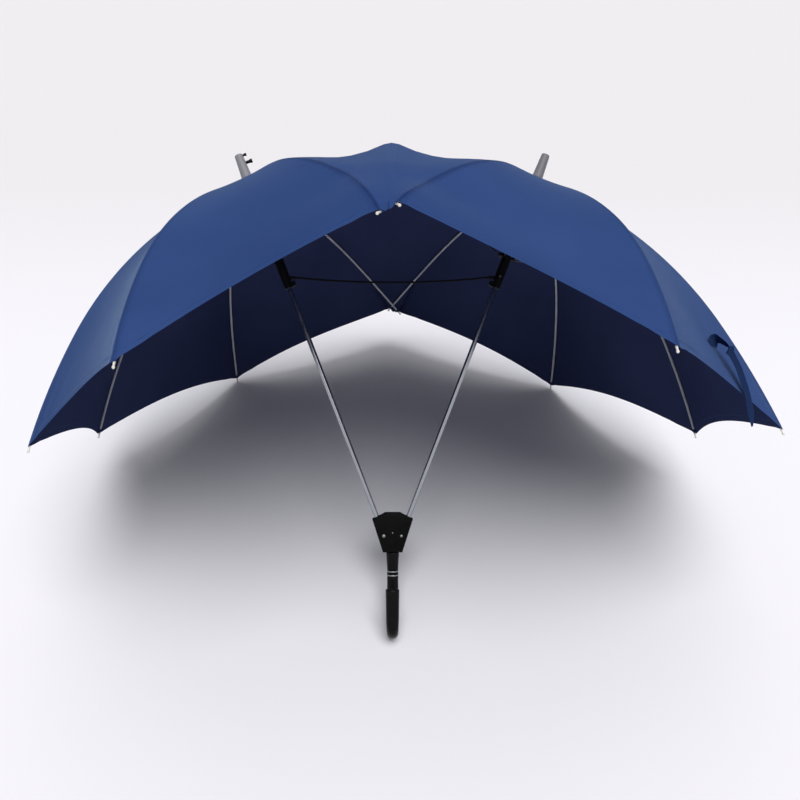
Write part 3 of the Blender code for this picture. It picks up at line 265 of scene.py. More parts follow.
def woven(name, colour, deep, pale, roughness, sheen, pitch=0.00042):
    """Plain-woven cloth: crossing threads, uneven dye, slack waves, and painted shade in the sewn folds."""
    made = Finish(name, roughness=roughness, sheen_weight=sheen, sheen_roughness=0.22,
                  specular_ior_level=0.0, sheen_tint=(0.55, 0.74, 1.0, 1.0))
    across, along = made.cloth_place()
    turn = math.tau / pitch
    threads = (across * turn).sine() * (along * turn).sine()
    wide = made.noise(5.0, 3.0, 0.55)
    fine = made.noise(260.0, 2.0, 0.6)
    tone = made.mix((wide * 1.6 - 0.3).held(), deep, pale)
    tone = made.mix((threads * 0.10 + fine * 0.22).held(), tone, colour)
    # Painted shade along the sewn seams: the fold attribute mixes a darker shade colour into the cloth,
    # broken up by noise
    fold = made.node("ShaderNodeAttribute", {"attribute_name": "fold"}, out=2)
    painted_shade_breakup = made.noise(120.0)
    shade = (deep[0] * 0.32, deep[1] * 0.30, deep[2] * 0.42, 1.0)
    tone = made.mix((fold * (painted_shade_breakup * 0.7 + 0.45)).held() * 0.85, tone, shade)
    soft = made.bump(made.noise(22.0), 0.10, 0.004)
    made.set(base_color=tone, normal=made.bump(threads + fine * 0.5, 0.18, 0.00012, soft))
    return made.material


def plastic(name, colour, roughness, grain=900.0, strength=0.10, gloss=0.5):
    """Moulded plastic: fine spark-eroded grain, faint flow marks, and paler rubbed places."""
    made = Finish(name, specular_ior_level=gloss)
    wide = made.noise(35.0, 4.0, 0.6)
    rubbed = tuple(min(c * 1.35 + 0.004, 1.0) for c in colour[:3]) + (1.0,)
    made.set(base_color=made.mix((wide * 2.2 - 0.75).held() * 0.6, colour, rubbed),
             roughness=wide * 0.16 + (roughness - 0.08),
             normal=made.bump(made.noise(grain), strength, 0.0002))
    return made.material


def steel(name, colour, roughness, grain=(40.0, 40.0, 2600.0), metal=1.0):
    """Drawn or plated steel: fine lines along the drawing, uneven polish and small dull spots."""
    made = Finish(name, metallic=metal)
    lines = made.noise(1.0, 3.0, 0.6, made.place(grain))
    cloud = made.noise(60.0, 4.0, 0.6)
    dull = tuple(c * 0.72 for c in colour[:3]) + (1.0,)
    made.set(base_color=made.mix((cloud * 2.4 - 0.9).held() * 0.5, colour, dull),
             roughness=cloud * 0.14 + lines * 0.05 + (roughness - 0.09),
             normal=made.bump(lines, 0.06, 0.0001))
    return made.material


def braided(name, colour, deep):
    """Braided cord: crossing strands along the tube, with painted shade between the strands."""
    made = Finish(name, roughness=0.72, sheen_weight=0.03, specular_ior_level=0.12)
    around, along = made.cloth_place()
    plait = math.tau * 4.0
    strands = (along * 2600.0 + around * plait).sine() * (along * 2600.0 - around * plait).sine()
    # Painted shade: darker where the strands dip, following the same pattern as the bump
    made.set(base_color=made.mix((strands * 0.5 + 0.5).held(), deep, colour),
             normal=made.bump(strands, 0.6, 0.0003))
    return made.material


cloth_outside = woven("blue umbrella cloth", paint(52, 75, 127), paint(47, 69, 119),
                      paint(55, 79, 132), 0.55, 0.46)
# Inner face: a darker navy than the outer cloth, partly its own coated back and partly painted shade
cloth_inside_shaded = woven("navy coated lining side with painted shade", paint(49, 57, 91), paint(43, 50, 82),
                     paint(54, 62, 98), 0.6, 0.02)
# The strap's cloth is darker than the canopy's: partly a darker fabric side, partly painted shade
strap_cloth_shaded = woven("tie strap cloth with painted shade", paint(34, 50, 86), paint(28, 43, 76),
                    paint(38, 56, 94), 0.6, 0.02, 0.0006)
thread = woven("sewing thread", paint(40, 68, 124), paint(36, 62, 116),
               paint(46, 76, 134), 0.6, 0.06, 0.0002)
black_plastic = plastic("black moulded plastic", paint(14, 14, 16), 0.42, gloss=0.12)
bracket_black = plastic("black bracket nylon", paint(8, 8, 9), 0.40, 1400.0, 0.14, gloss=0.04)
grip_black = plastic("black grip coating", paint(9, 9, 11), 0.26, 700.0, 0.08, gloss=0.08)
silver_plastic = plastic("silver sprayed plastic", paint(130, 129, 135), 0.42, 2400.0, 0.08, gloss=0.3)
grey_plastic = plastic("grey sprayed plastic", paint(112, 111, 116), 0.42, 2400.0, 0.08, gloss=0.3)
tip_plastic = plastic("off-white tip plastic", paint(226, 221, 212), 0.40)
even_grain = (900.0, 900.0, 900.0)
shaft_steel = steel("chromed shaft steel", paint(158, 160, 167), 0.18)
rib_steel = steel("zinc plated rib steel", paint(226, 227, 232), 0.38, metal=0.25)
stretcher_steel = steel("dark plated stretcher steel", paint(84, 86, 92), 0.40, metal=0.5)
rivet_steel = steel("bright rivet steel", paint(122, 119, 115), 0.40, even_grain)
trim_steel = steel("satin trim steel", paint(168, 168, 173), 0.30, even_grain)
cord_black = braided("black braided cord", paint(15, 15, 18), paint(6, 6, 8))


# Mesh helpers
def link(name, data):
    made = bpy.data.objects.new(name, data)
    bpy.context.collection.objects.link(made)
    return made


def fit(name, bm, finish, body, stands_for=(), smooth=35.0):
    """Turn a shape of the drawing frame into a finished piece on its body."""
    mesh = closed(bm)
    mesh.transform(stance)
    mesh.materials.append(finish)
    mesh.shade_smooth()
    mesh.set_sharp_from_angle(angle=math.radians(smooth))
    made = link(name, mesh)
    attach(made, body)
    if stands_for:
        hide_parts(*stands_for)
    return made


def closed(bm):
    bmesh.ops.recalc_face_normals(bm, faces=bm.faces)
    mesh = bpy.data.meshes.new("shape")
    bm.to_mesh(mesh)
    bm.free()
    return mesh


def skin(rings, loop=False, into=None):
    """Bridge rings of points and close both ends, or close the rings in a loop."""
    bm = into or bmesh.new()
    rows = [[bm.verts.new(p) for p in ring] for ring in rings]
    count = len(rows[0])
    pairs = list(zip(rows[:-1], rows[1:]))
    if loop:
        pairs.append((rows[-1], rows[0]))
    for low, high in pairs:
        for i in range(count):
            j = (i + 1) % count
            bm.faces.new((low[i], low[j], high[j], high[i]))
    if not loop:
        bm.faces.new(rows[0])
        bm.faces.new(rows[-1])
    return bm


def oval(centre, one, two, count, power=1.0, far_power=None):
    """A ring of points on two half axes; a power under one squares it, on the far half by its own."""
    ring = []
    for k in range(count):
        turn = math.tau * k / count
        c, s = math.cos(turn), math.sin(turn)
        shape = far_power if far_power and s < 0.0 else power
        ring.append(centre + one * math.copysign(abs(c) ** shape, c)
                    + two * math.copysign(abs(s) ** shape, s))
    return ring


def sleeve(rings, pitch, lengths):
    """A closed tube through rings of points, with its running lengths for the weave."""
    bm = bmesh.new()
    layer = bm.loops.layers.uv.new("weave")
    rows = [[bm.verts.new(p) for p in ring] for ring in rings]
    count = len(rows[0])
    for i in range(len(rows) - 1):
        for k in range(count):
            j = (k + 1) % count
            face = bm.faces.new((rows[i][k], rows[i][j], rows[i + 1][j], rows[i + 1][k]))
            for loop, (u, v) in zip(face.loops, ((k, i), (k + 1, i), (k + 1, i + 1), (k, i + 1))):
                loop[layer].uv = (u * pitch, lengths[v])
    bm.faces.new(rows[0])
    bm.faces.new(rows[-1])
    return bm


def side_axes(axis):
    axis = axis.normalized()
    first = axis.cross(rearward)
    if first.length < 0.5:
        first = axis.cross(upright)
    first.normalize()
    return first, axis.cross(first)


def turned(profile, start, axis, sides=48, bored=False, into=None):
    """Turn a profile of radius and height about an axis."""
    axis = axis.normalized()
    first, second = side_axes(axis)
    rings = []
    for k in range(sides):
        turn = math.tau * k / sides
        out = first * math.cos(turn) + second * math.sin(turn)
        rings.append([start + out * r + axis * h for r, h in profile])
    bm = into or bmesh.new()
    if bored:
        return skin(rings, True, bm)
    low = bm.verts.new(start + axis * profile[0][1])
    high = bm.verts.new(start + axis * profile[-1][1])
    inner = [[bm.verts.new(p) for p in ring[1:-1]] for ring in rings]
    for k in range(sides):
        here, there = inner[k], inner[(k + 1) % sides]
        bm.faces.new((low, here[0], there[0]))
        bm.faces.new((high, there[-1], here[-1]))
        for i in range(len(here) - 1):
            bm.faces.new((here[i], here[i + 1], there[i + 1], there[i]))
    return bm


def eased(profile, radius, steps=3):
    """A turned profile with its corners rounded off."""
    made = [profile[0]]
    for a, b, c in zip(profile[:-2], profile[1:-1], profile[2:]):
        before = Vector(a) - Vector(b)
        after = Vector(c) - Vector(b)
        cut = min(radius, before.length * 0.45, after.length * 0.45)
        if cut < 1e-6:
            made.append(b)
            continue
        p = Vector(b) + before.normalized() * cut
        q = Vector(b) + after.normalized() * cut
        for i in range(steps + 1):
            t = i / steps
            made.append(tuple(p * (1.0 - t) ** 2 + Vector(b) * (2.0 * t * (1.0 - t)) + q * t ** 2))
    made.append(profile[-1])
    return made


# The umbrella's own lines
def shaft_frame(side):
    sign = SIGN[side]
    pivot = Vector((sign * pivot_half_gap, 0.0, 0.0))
    up = Vector((sign * math.sin(splay), 0.0, math.cos(splay)))
    inward = Vector((-sign * math.cos(splay), 0.0, math.sin(splay)))
    return pivot, up, inward, pivot + up * pivot_to_crown


def family(name):
    return name.split("_")[1]


def end_sign(name):
    """Minus one for the front ribs and one for the rear ones."""
    return -1.0 if name.startswith("front") else 1.0


def owner_body(side, name):
    part, kind = name.split("_")
    return "batten_" + side + "_" + part if kind == "batten" else "rib_" + side + "_" + name


def rib_direction(side, name):
    _, up, inward, _ = shaft_frame(side)
    turn = math.radians(azimuth[family(name)] + rib_set[side, name][0]) * end_sign(name)
    out = inward * math.cos(turn) + rearward * math.sin(turn)
    return out, up.cross(out)


def rib_slope(side, name, s):
    knots = slopes[family(name)]
    droop, curl = rib_set[side, name][1:]
    at = min(max(s / rib_length * 3.0, 0.0), 3.0)
    k = min(int(at), 2)
    slope = knots[k] + (knots[k + 1] - knots[k]) * (at - k)
    return math.radians(slope + droop + curl * (s / rib_length - 0.5))


def rib_curve(side, name, steps=60):
    span = batten_length if family(name) == "batten" else rib_length
    rows = [(0.0, 0.0, 0.0)]
    for i in range(1, steps + 1):
        mid = rib_slope(side, name, span * i / steps - span / steps / 2.0)
        rows.append((span * i / steps, rows[-1][1] + math.cos(mid) * span / steps,
                     rows[-1][2] + math.sin(mid) * span / steps))
    return rows


curves = {(side, name): rib_curve(side, name) for side in SIGN for name in RIBS + BATTENS}


def on_curve(side, name, s):
    rows = curves[side, name]
    step = rows[-1][0] / (len(rows) - 1)
    k = min(max(int(math.floor(s / step)), 0), len(rows) - 2)
    share = (s - rows[k][0]) / step
    return (rows[k][1] + (rows[k + 1][1] - rows[k][1]) * share,
            rows[k][2] + (rows[k + 1][2] - rows[k][2]) * share)


def rib_point(side, name, s, lift=0.0, across=0.0):
    _, up, _, crown = shaft_frame(side)
    out, cross = rib_direction(side, name)
    slope = rib_slope(side, name, s)
    a, b = on_curve(side, name, s)
    if family(name) == "batten":
        share = min(max(s / batten_length, 0.0), 1.0)
        b += batten_dip * math.sin(math.pi * share ** batten_dip_bias)
    a += hinge_radius + math.sin(slope) * lift
    b -= math.cos(slope) * lift
    return crown + out * a - up * b + cross * across


def rib_ring(side, name, s, high, half, count):
    """An oval ring of points about the line of a rib."""
    return [rib_point(side, name, s, math.sin(math.tau * k / count) * high,
                      math.cos(math.tau * k / count) * half) for k in range(count)]


def boss_end(side):
    _, up, _, crown = shaft_frame(side)
    return crown - up * boss_depth + Vector((-SIGN[side] * (boss_reach + seat_gap), 0.0, 0.0))


# Cord between the runners, hanging in a shallow curve
def hang_cord():
    radius, sag, steps, entry, sides = 0.0016, 0.0078, 60, 0.012, 16
    left, right = boss_end("left"), boss_end("right")
    path = []
    for i in range(steps + 1):
        share = i / steps
        point = left.lerp(right, share)
        run = min(share, 1.0 - share) * (right - left).length
        point.z -= (1.0 - math.exp(-(run / entry) ** 2)) * sag * 4.0 * share * (1.0 - share)
        path.append(point)
    rings, lengths = [], [0.0]
    for i, point in enumerate(path):
        ahead = (path[min(i + 1, steps)] - path[max(i - 1, 0)]).normalized()
        low = ahead.cross(rearward).normalized()
        rings.append(oval(point, low * radius, rearward * radius, sides))
        if i:
            lengths.append(lengths[-1] + (point - path[i - 1]).length)
    mesh = closed(sleeve(rings, 1.0 / sides, lengths))
    mesh.transform(stance)
    mesh.materials.append(cord_black)
    mesh.shade_smooth()
    cord = link("runner_cord", mesh)
    route = [stance @ p for p in path]
    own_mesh(cord)
    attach(cord, "runner_left")
    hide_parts("link_cord")


hang_cord()


# Cloth
def cloth_lift(s, layer):
    """Height of the cloth over a rib's line, raised where it climbs onto the cap."""
    return rib_half_height + cloth_clearance + hub_lift * math.exp(-(s / hub_lift_run) ** 2) + layer


def seam_point(side, name, s, layer):
    """The cloth over a rib; a centre rib's seam ends in the pocket over the other side's tip."""
    lift = cloth_lift(s, layer)
    point = rib_point(side, name, s, lift)
    if family(name) != "centre":
        return point
    upper_blend, lower_blend = 2.0, 1.4
    end = rib_length - hem_setback
    share = min((s - (end - pocket_run)) / pocket_run, 1.0)
    if share <= 0.0:
        return point
    first = rib_point(side, name, end - pocket_run, lift)
    pocket = rib_point(OTHER[side], name, end, lift + rib_sheet)
    own = rib_point(side, name, s, lift + rib_sheet)
    blend = share ** (upper_blend if (side, name.split("_")[0]) in upper_pair else lower_blend)
    height = own.z + (pocket.z - rib_point(side, name, end, lift).z) * blend
    return Vector((first.x + (pocket.x - first.x) * share,
                   own.y + (pocket.y - own.y) * share * share, height))


def gore_point(side, one, two, across, share, layer):
    bow = 4.0 * across * (1.0 - across)
    start = hole_radius - hinge_radius
    places = []
    for name in (one, two):
        end = (rib_length - rib_hem_setback[family(name)]) * (1.0 - gore_scallop[two] * bow)
        places.append(start + (end - start) * share)
    edge = rib_cover * min(share / cover_share, 1.0)
    first = seam_point(side, one, places[0], layer) + rib_direction(side, one)[1] * (SIGN[side] * edge)
    second = seam_point(side, two, places[1], layer) - rib_direction(side, two)[1] * (SIGN[side] * edge)
    point = first.lerp(second, across)
    _, up, _, crown = shaft_frame(side)
    out = (point - crown) - up * (point - crown).dot(up)
    if out.length > hub_radius:
        depth = gore_sag * (second - first).length * bow * min(share * 3.0, 1.0)
        point -= (up * sag_up + out.normalized() * sag_out) * depth
    return point


def panel_width(side, one, two, share):
    """Width of the cloth between two ribs, at a share of its length."""
    ends = [gore_point(side, one, two, across, share, 0.0) for across in (0.0, 1.0)]
    return (ends[1] - ends[0]).length


def outward(side, point):
    """Facing of the cloth near a point, away from the umbrella."""
    _, up, _, crown = shaft_frame(side)
    return ((point - crown).normalized() * 0.4 + up).normalized()


def keep_side(side, point, gap):
    """Hold a point on its own side of the parting over the handle."""
    point.x = SIGN[side] * max(SIGN[side] * point.x, gap)
    return point


def length_at(side, name, y, span):
    """Length along a rib or batten where it passes a distance to the front or rear."""
    low, high = 0.0, span
    for _ in range(26):
        mid = (low + high) / 2.0
        if abs(rib_point(side, name, mid).y) < abs(y):
            low = mid
        else:
            high = mid
    return low


def ridge_z(y, layer):
    """Height of the cloth over the handle."""
    run = abs(y)
    name = "front_centre" if y < 0.0 else "rear_centre"
    if run <= peak_run + flat_run:
        share = min(run / (peak_run - flat_run), 1.0)
        return ridge_height + (ridge_peak - ridge_height) * share * share + layer

    def over_ribs(at):
        return ridge_over_ribs + max(rib_point(s, name, length_at(s, name, at, rib_length)).z for s in SIGN)
    if run < join_run:
        joined = over_ribs(math.copysign(join_run, y))
        near = peak_run + flat_run
        return ridge_peak + (joined - ridge_peak) * (run - near) / (join_run - near) + layer
    return over_ribs(y) + layer


def crease_point(side, y, layer):
    """Cloth over the upper batten of a pair, mirrored to both sides."""
    end = "front" if y < 0.0 else "rear"
    upper = "left" if ("left", end) in upper_pair else "right"
    name = end + "_batten"
    s = length_at(upper, name, y, batten_length)
    lift = 2.0 * batten_radius + cloth_clearance + hub_lift * math.exp(-(s / hub_lift_run) ** 2)
    point = rib_point(upper, name, s, lift + layer)
    return Vector((SIGN[side] * abs(point.x), y, point.z))


def panel_row(side, edge, layer, parts):
    """The centre panel at one distance y, from its edge over the batten to the middle."""
    crease_run, fold_share, widest_share = peak_run * 0.94, 0.06, 0.985
    first_step, full_sag_reach, sag_lean = 0.0035, 0.19, 1.94
    y = edge.y
    ridge = Vector((0.0, y, ridge_z(y, layer)))
    crease = crease_point(side, y, layer) if abs(y) < crease_run else None
    fold_x = edge.x * fold_share
    if crease is None or abs(crease.x) < abs(fold_x):
        height = ridge.z + (edge.z - ridge.z) * fold_share
        if abs(y) < peak_run + flat_run:
            height = max(height, crease_point(side, y, layer).z)
        crease = Vector((fold_x, y, height))
    limit = abs(edge.x) * widest_share
    if abs(crease.x) > limit:
        crease = Vector((SIGN[side] * limit, y, max(edge.z, crease.z)))
    near = min(first_step / max((crease - edge).length, 0.001), 0.5 / parts)
    row = [edge, edge.lerp(crease, near)] + [edge.lerp(crease, k / parts) for k in range(1, parts)]
    reach = abs(edge.x - crease.x)
    depth = panel_sag * min(reach / full_sag_reach, 1.0) ** 1.2
    for point in row:
        share = abs(edge.x - point.x) / max(reach, 1e-6)
        point.z -= depth * math.sin(math.pi * min(share, 1.0) ** sag_lean)
    row += [crease.lerp(ridge, k / parts) for k in range(parts + 1)]
    return row


# Rows of the cloth from the crown to the hem, the last ones for the hem band, and its columns
hem_band = 0.011
hem_step = 0.0006
hem_guard = 0.0012
hem_rise = 0.0004
seam_ridge = 0.00045
parting_gap = 0.0012
lap_gap = 0.0009
band_shares = (1.0 - (hem_band + hem_step) / rib_length, 1.0 - hem_band / rib_length)
along_places = [0.0, 0.02, 0.05] + [0.05 + 0.95 * k / 40.0 for k in range(1, 39)]
along_places = [s for s in along_places if s < band_shares[0] - 0.006]
along_places += [band_shares[0] - hem_guard / rib_length, band_shares[0], band_shares[1],
                 band_shares[1] + hem_guard / rib_length, 0.991, 1.0]
across_places = [0.0, 0.02] + [k / 22.0 for k in range(1, 22)] + [0.98, 1.0]
# Painted shade along the seams: how dark each kind of seam is painted, and the share of it at a seam's
# sides
painted_seam_shade = {"centre": 1.0, "corner": 0.45, "end": 0.40}
painted_seam_side_shade = 0.42


def pucker(run, off, seed):
    """Small waves of slack cloth along a seam, fading away from it."""
    height, short_wave, long_wave, reach, sewn_flat, start = 0.00042, 290.0, 173.0, 0.016, 0.004, 0.08
    wave = math.sin(run * short_wave + seed) + 0.6 * math.sin(run * long_wave + seed * 2.3)
    near = math.exp(-(off / reach) ** 2) * (1.0 - math.exp(-(off / sewn_flat) ** 2))
    return height * wave * near * min(run / start, 1.0)


def tip_folds(run, off, seed):
    """Tension folds that fan out from a rib tip."""
    height, pitch, reach, length = 0.0011, 0.0062, 0.045, 0.055
    fade = math.exp(-((rib_length - run - reach) / length) ** 2)
    return height * fade * math.sin(off / pitch + seed) * math.exp(-(off / reach) ** 2)


class Cloth:
    """One canopy's outer face: shared points, and faces with their rib and their running lengths."""

    def __init__(self, side):
        self.side = side
        self.points = []
        self.known = {}
        self.faces = []

    def point(self, position):
        key = (round(position.x, 6), round(position.y, 6), round(position.z, 6))
        if key not in self.known:
            self.known[key] = len(self.points)
            self.points.append(position.copy())
        return self.known[key]

    def patch(self, grid, runs, owners):
        """A grid of rows of points; owners(i, j) names the rib of each cell."""
        marks = [[self.point(p) for p in row] for row in grid]
        for i in range(len(marks) - 1):
            for j in range(len(marks[0]) - 1):
                corners = ((i, j), (i, j + 1), (i + 1, j + 1), (i + 1, j))
                ring, places = [], []
                for a, b in corners:
                    if marks[a][b] not in ring:
                        ring.append(marks[a][b])
                        places.append(runs[a][b])
                if len(ring) > 2:
                    self.faces.append((ring, places, owners(i, j)))


def lay_gores(cloth):
    """The panels between neighbouring ribs, and a strip over every rib but the centre ones."""
    side = cloth.side
    up = shaft_frame(side)[1]
    middle = len(across_places) // 2
    for k, (one, two) in enumerate(zip(RIBS[:-1], RIBS[1:])):
        grid, runs = [], []
        for across in across_places:
            row, lengths = [], []
            seed = k * 1.7 + (0.9 if across > 0.5 else 0.0) + SIGN[side]
            # edge: painted seam shade at the gore's sides over the ribs
            edge = {0.0: painted_seam_shade[family(one)], 1.0: painted_seam_shade[family(two)]}.get(across, 0.0)
            for share in along_places:
                point = gore_point(side, one, two, across, share, cloth_thickness)
                width = panel_width(side, one, two, share)
                run = share * rib_length
                off = min(across, 1.0 - across) * width
                if 0.0 < across < 1.0:
                    lift = pucker(run, off, seed) + tip_folds(run, off, seed)
                    if share >= band_shares[1]:
                        lift += hem_rise
                    point = point + outward(side, point) * lift
                row.append(keep_side(side, point, parting_gap))
                lengths.append(((across - 0.5) * width + k * 0.4, run, edge * painted_seam_side_shade))
            grid.append(row)
            runs.append(lengths)
        cloth.patch(grid, runs, lambda i, j, m=middle, a=one, b=two: a if i < m else b)
        if k < len(RIBS) - 2:
            # The strip over the next rib, with the seam standing up along its middle and painted shade
            # along it
            first = grid[-1]
            second = [gore_point(side, two, RIBS[k + 2], 0.0, share, cloth_thickness)
                      for share in along_places]
            second = [keep_side(side, point, parting_gap) for point in second]
            ridge = [a.lerp(b, 0.5) + up * (seam_ridge * min(share / 0.05, 1.0))
                     for a, b, share in zip(first, second, along_places)]
            lengths = []
            for part in range(3):
                dark = painted_seam_shade[family(two)] * (1.0 if part == 1 else painted_seam_side_shade)
                lengths.append([(part * rib_cover + k * 0.4 + 0.2, share * rib_length, dark)
                                for share in along_places])
            cloth.patch([first, ridge, second], lengths, lambda i, j, a=two: a + "_seam")


def lay_panel(cloth):
    """The centre panel's half on this side, parted in the middle over the handle."""
    side = cloth.side
    sign = SIGN[side]
    _, up, inward, crown = shaft_frame(side)
    start = hole_radius - hinge_radius
    parts, turns, run_shift, lip_lean, lip_run = 7, 10, 0.9, 0.0006, 0.008

    def seam_rows(name, outer_pair, outer_across):
        made = []
        for share in along_places:
            place = start + (rib_length - hem_setback - start) * share
            way = rib_direction(side, name)[1] * (sign * end_sign(name))
            lap = seam_point(side, name, place, cloth_thickness)
            lap = lap + way * (rib_cover * min(share / cover_share, 1.0))
            outer = gore_point(side, *outer_pair, outer_across, share, cloth_thickness)
            made.append((keep_side(side, outer, parting_gap), keep_side(side, lap, lap_gap)))
        return made
    rows = seam_rows("front_centre", RIBS[:2], 0.0)[::-1]
    for i in range(1, turns):
        turn = math.radians(azimuth["centre"]) * (2.0 * i / turns - 1.0)
        out = inward * math.cos(turn) + rearward * math.sin(turn)
        rim = crown + out * hole_radius + up * cloth_lift(start, cloth_thickness)
        rows.append((rim, rim))
    rows += seam_rows("rear_centre", RIBS[-2:], 1.0)
    grid, runs, lips = [], [], []
    for outer, lap in rows:
        inner = panel_row(side, lap, cloth_thickness, parts)
        middle = outer.lerp(lap, 0.5) + up * (seam_ridge if (outer - lap).length > 0.001 else 0.0)
        row = [outer, middle] + inner if (outer - lap).length > 1e-6 else [outer, outer] + inner
        if not grid or outer is rows[-1][0]:
            # The hem folds down over the tips where the two canopies meet
            lip = [p.copy() for p in row]
            for p in lip[2:]:
                p.z -= lip_drop * (1.0 - min(abs(p.x / row[2].x), 1.0) ** 2)
                p.y += math.copysign(lip_lean, p.y)
            lips.append((bool(grid), lip))
        grid.append(row)
        # Painted shade along the centre seam only, none on the rest of the panel
        dark = painted_seam_shade["centre"] if (outer - lap).length > 0.001 else 0.0
        shades = [dark * painted_seam_side_shade, dark, dark * painted_seam_side_shade] + [0.0] * (len(row) - 3)
        runs.append([(p.x + sign * run_shift, p.y, shade) for p, shade in zip(row, shades)])
    for after, lip in lips:
        marks = [(p.x + sign * run_shift, p.y + math.copysign(lip_run, p.y), 0.0) for p in lip]
        grid.insert(len(grid) if after else 0, lip)
        runs.insert(len(runs) if after else 0, marks)
    split = peak_run * 0.985

    def owner(i, j):
        y = (grid[i][-1].y + grid[i + 1][-1].y) / 2.0
        end = "front" if y < 0.0 else "rear"
        if j < 2:
            return end + "_centre_seam"
        if abs(y) > split or j < 3 + parts // 2:
            return end + "_centre"
        return end + "_batten"
    cloth.patch(grid, runs, owner)


def finish_sheet(name, cloth, owner, normals):
    """One rib's share of the canopy as a closed thin sheet, lit as part of the whole."""
    faces = [f for f in cloth.faces if f[2] == owner]
    used = sorted({v for ring, _, _ in faces for v in ring})
    place = {v: i for i, v in enumerate(used)}
    count = len(used)
    turn = stance.to_3x3()
    top = [stance @ cloth.points[v] for v in used]
    lit = [turn @ normals[v] for v in used]
    verts = top + [p - n * cloth_thickness for p, n in zip(top, lit)]
    polygons, marks, sides, kinds = [], [], [], {}
    area = 0.0
    for ring, places, _ in faces:
        outer = [place[v] for v in ring]
        a, b, c = (top[i] for i in outer[:3])
        facing = (b - a).cross(c - a)
        if len(outer) == 4:
            d = top[outer[3]]
            facing = (c - a).cross(d - b)
            area += ((b - a).cross(c - a).length + (c - a).cross(d - a).length) / 2.0
        else:
            area += facing.length / 2.0
        runs = list(places)
        if facing.dot(lit[outer[0]] + lit[outer[1]] + lit[outer[2]]) < 0.0:
            outer.reverse()
            runs.reverse()
        polygons.append(tuple(outer))
        marks.append(runs)
        sides.append(0)
        polygons.append(tuple(i + count for i in reversed(outer)))
        marks.append(list(reversed(runs)))
        sides.append(1)
        for i, p in enumerate(outer):
            q = outer[(i + 1) % len(outer)]
            kinds.setdefault(frozenset((p, q)), []).append((p, q, runs[i], runs[(i + 1) % len(outer)]))
    for edge in kinds.values():
        if len(edge) == 1:
            p, q, one, two = edge[0]
            polygons.append((q, p, p + count, q + count))
            marks.append([two, one, one, two])
            sides.append(2)
    mesh = bpy.data.meshes.new(name)
    mesh.from_pydata([tuple(v) for v in verts], [], polygons)
    mesh.materials.append(cloth_outside)
    mesh.materials.append(cloth_inside_shaded)
    mesh.uv_layers.new(name="weave")
    # The fold attribute carries the painted seam shade to the cloth's finish
    mesh.attributes.new("fold", "FLOAT", "CORNER")
    layer = mesh.uv_layers["weave"]
    fold = mesh.attributes["fold"]
    loops = []
    for polygon, runs, kind in zip(mesh.polygons, marks, sides):
        polygon.material_index = 1 if kind == 1 else 0
        polygon.use_smooth = True
        flat = polygon.normal.copy()
        for index, (u, v, dark) in zip(polygon.loop_indices, runs):
            layer.data[index].uv = (u, v)
            fold.data[index].value = dark
            vertex = mesh.loops[index].vertex_index
            if kind == 2:
                loops.append(flat)
            elif kind == 1:
                loops.append(-lit[vertex - count])
            else:
                loops.append(lit[vertex])
    mesh.normals_split_custom_set([tuple(n) for n in loops])
    return link(name, mesh), area


def whole_normals(cloth):
    """Facing of every point from all the faces about it, outwards from the umbrella."""
    _, up, _, crown = shaft_frame(cloth.side)
    depth_of_middle = 0.45
    inside = crown - up * depth_of_middle
    normals = [Vector() for _ in cloth.points]
    for ring, _, _ in cloth.faces:
        spots = [cloth.points[v] for v in ring]
        facing = Vector()
        for i in range(1, len(spots) - 1):
            facing += (spots[i] - spots[0]).cross(spots[i + 1] - spots[0])
        if facing.dot(spots[0] - inside) < 0.0:
            facing.negate()
        if facing.length < 1e-12:
            continue
        for k, vertex in enumerate(ring):
            one = spots[k - 1] - spots[k]
            two = spots[(k + 1) % len(spots)] - spots[k]
            corner = one.angle(two) if one.length > 1e-9 and two.length > 1e-9 else 0.0
            normals[vertex] += facing.normalized() * corner
    for i, point in enumerate(cloth.points):
        normal = normals[i]
        if abs(point.x) < 1e-6:
            normal.x = 0.0
        normals[i] = normal.normalized() if normal.length > 1e-9 else up.copy()
    return normals


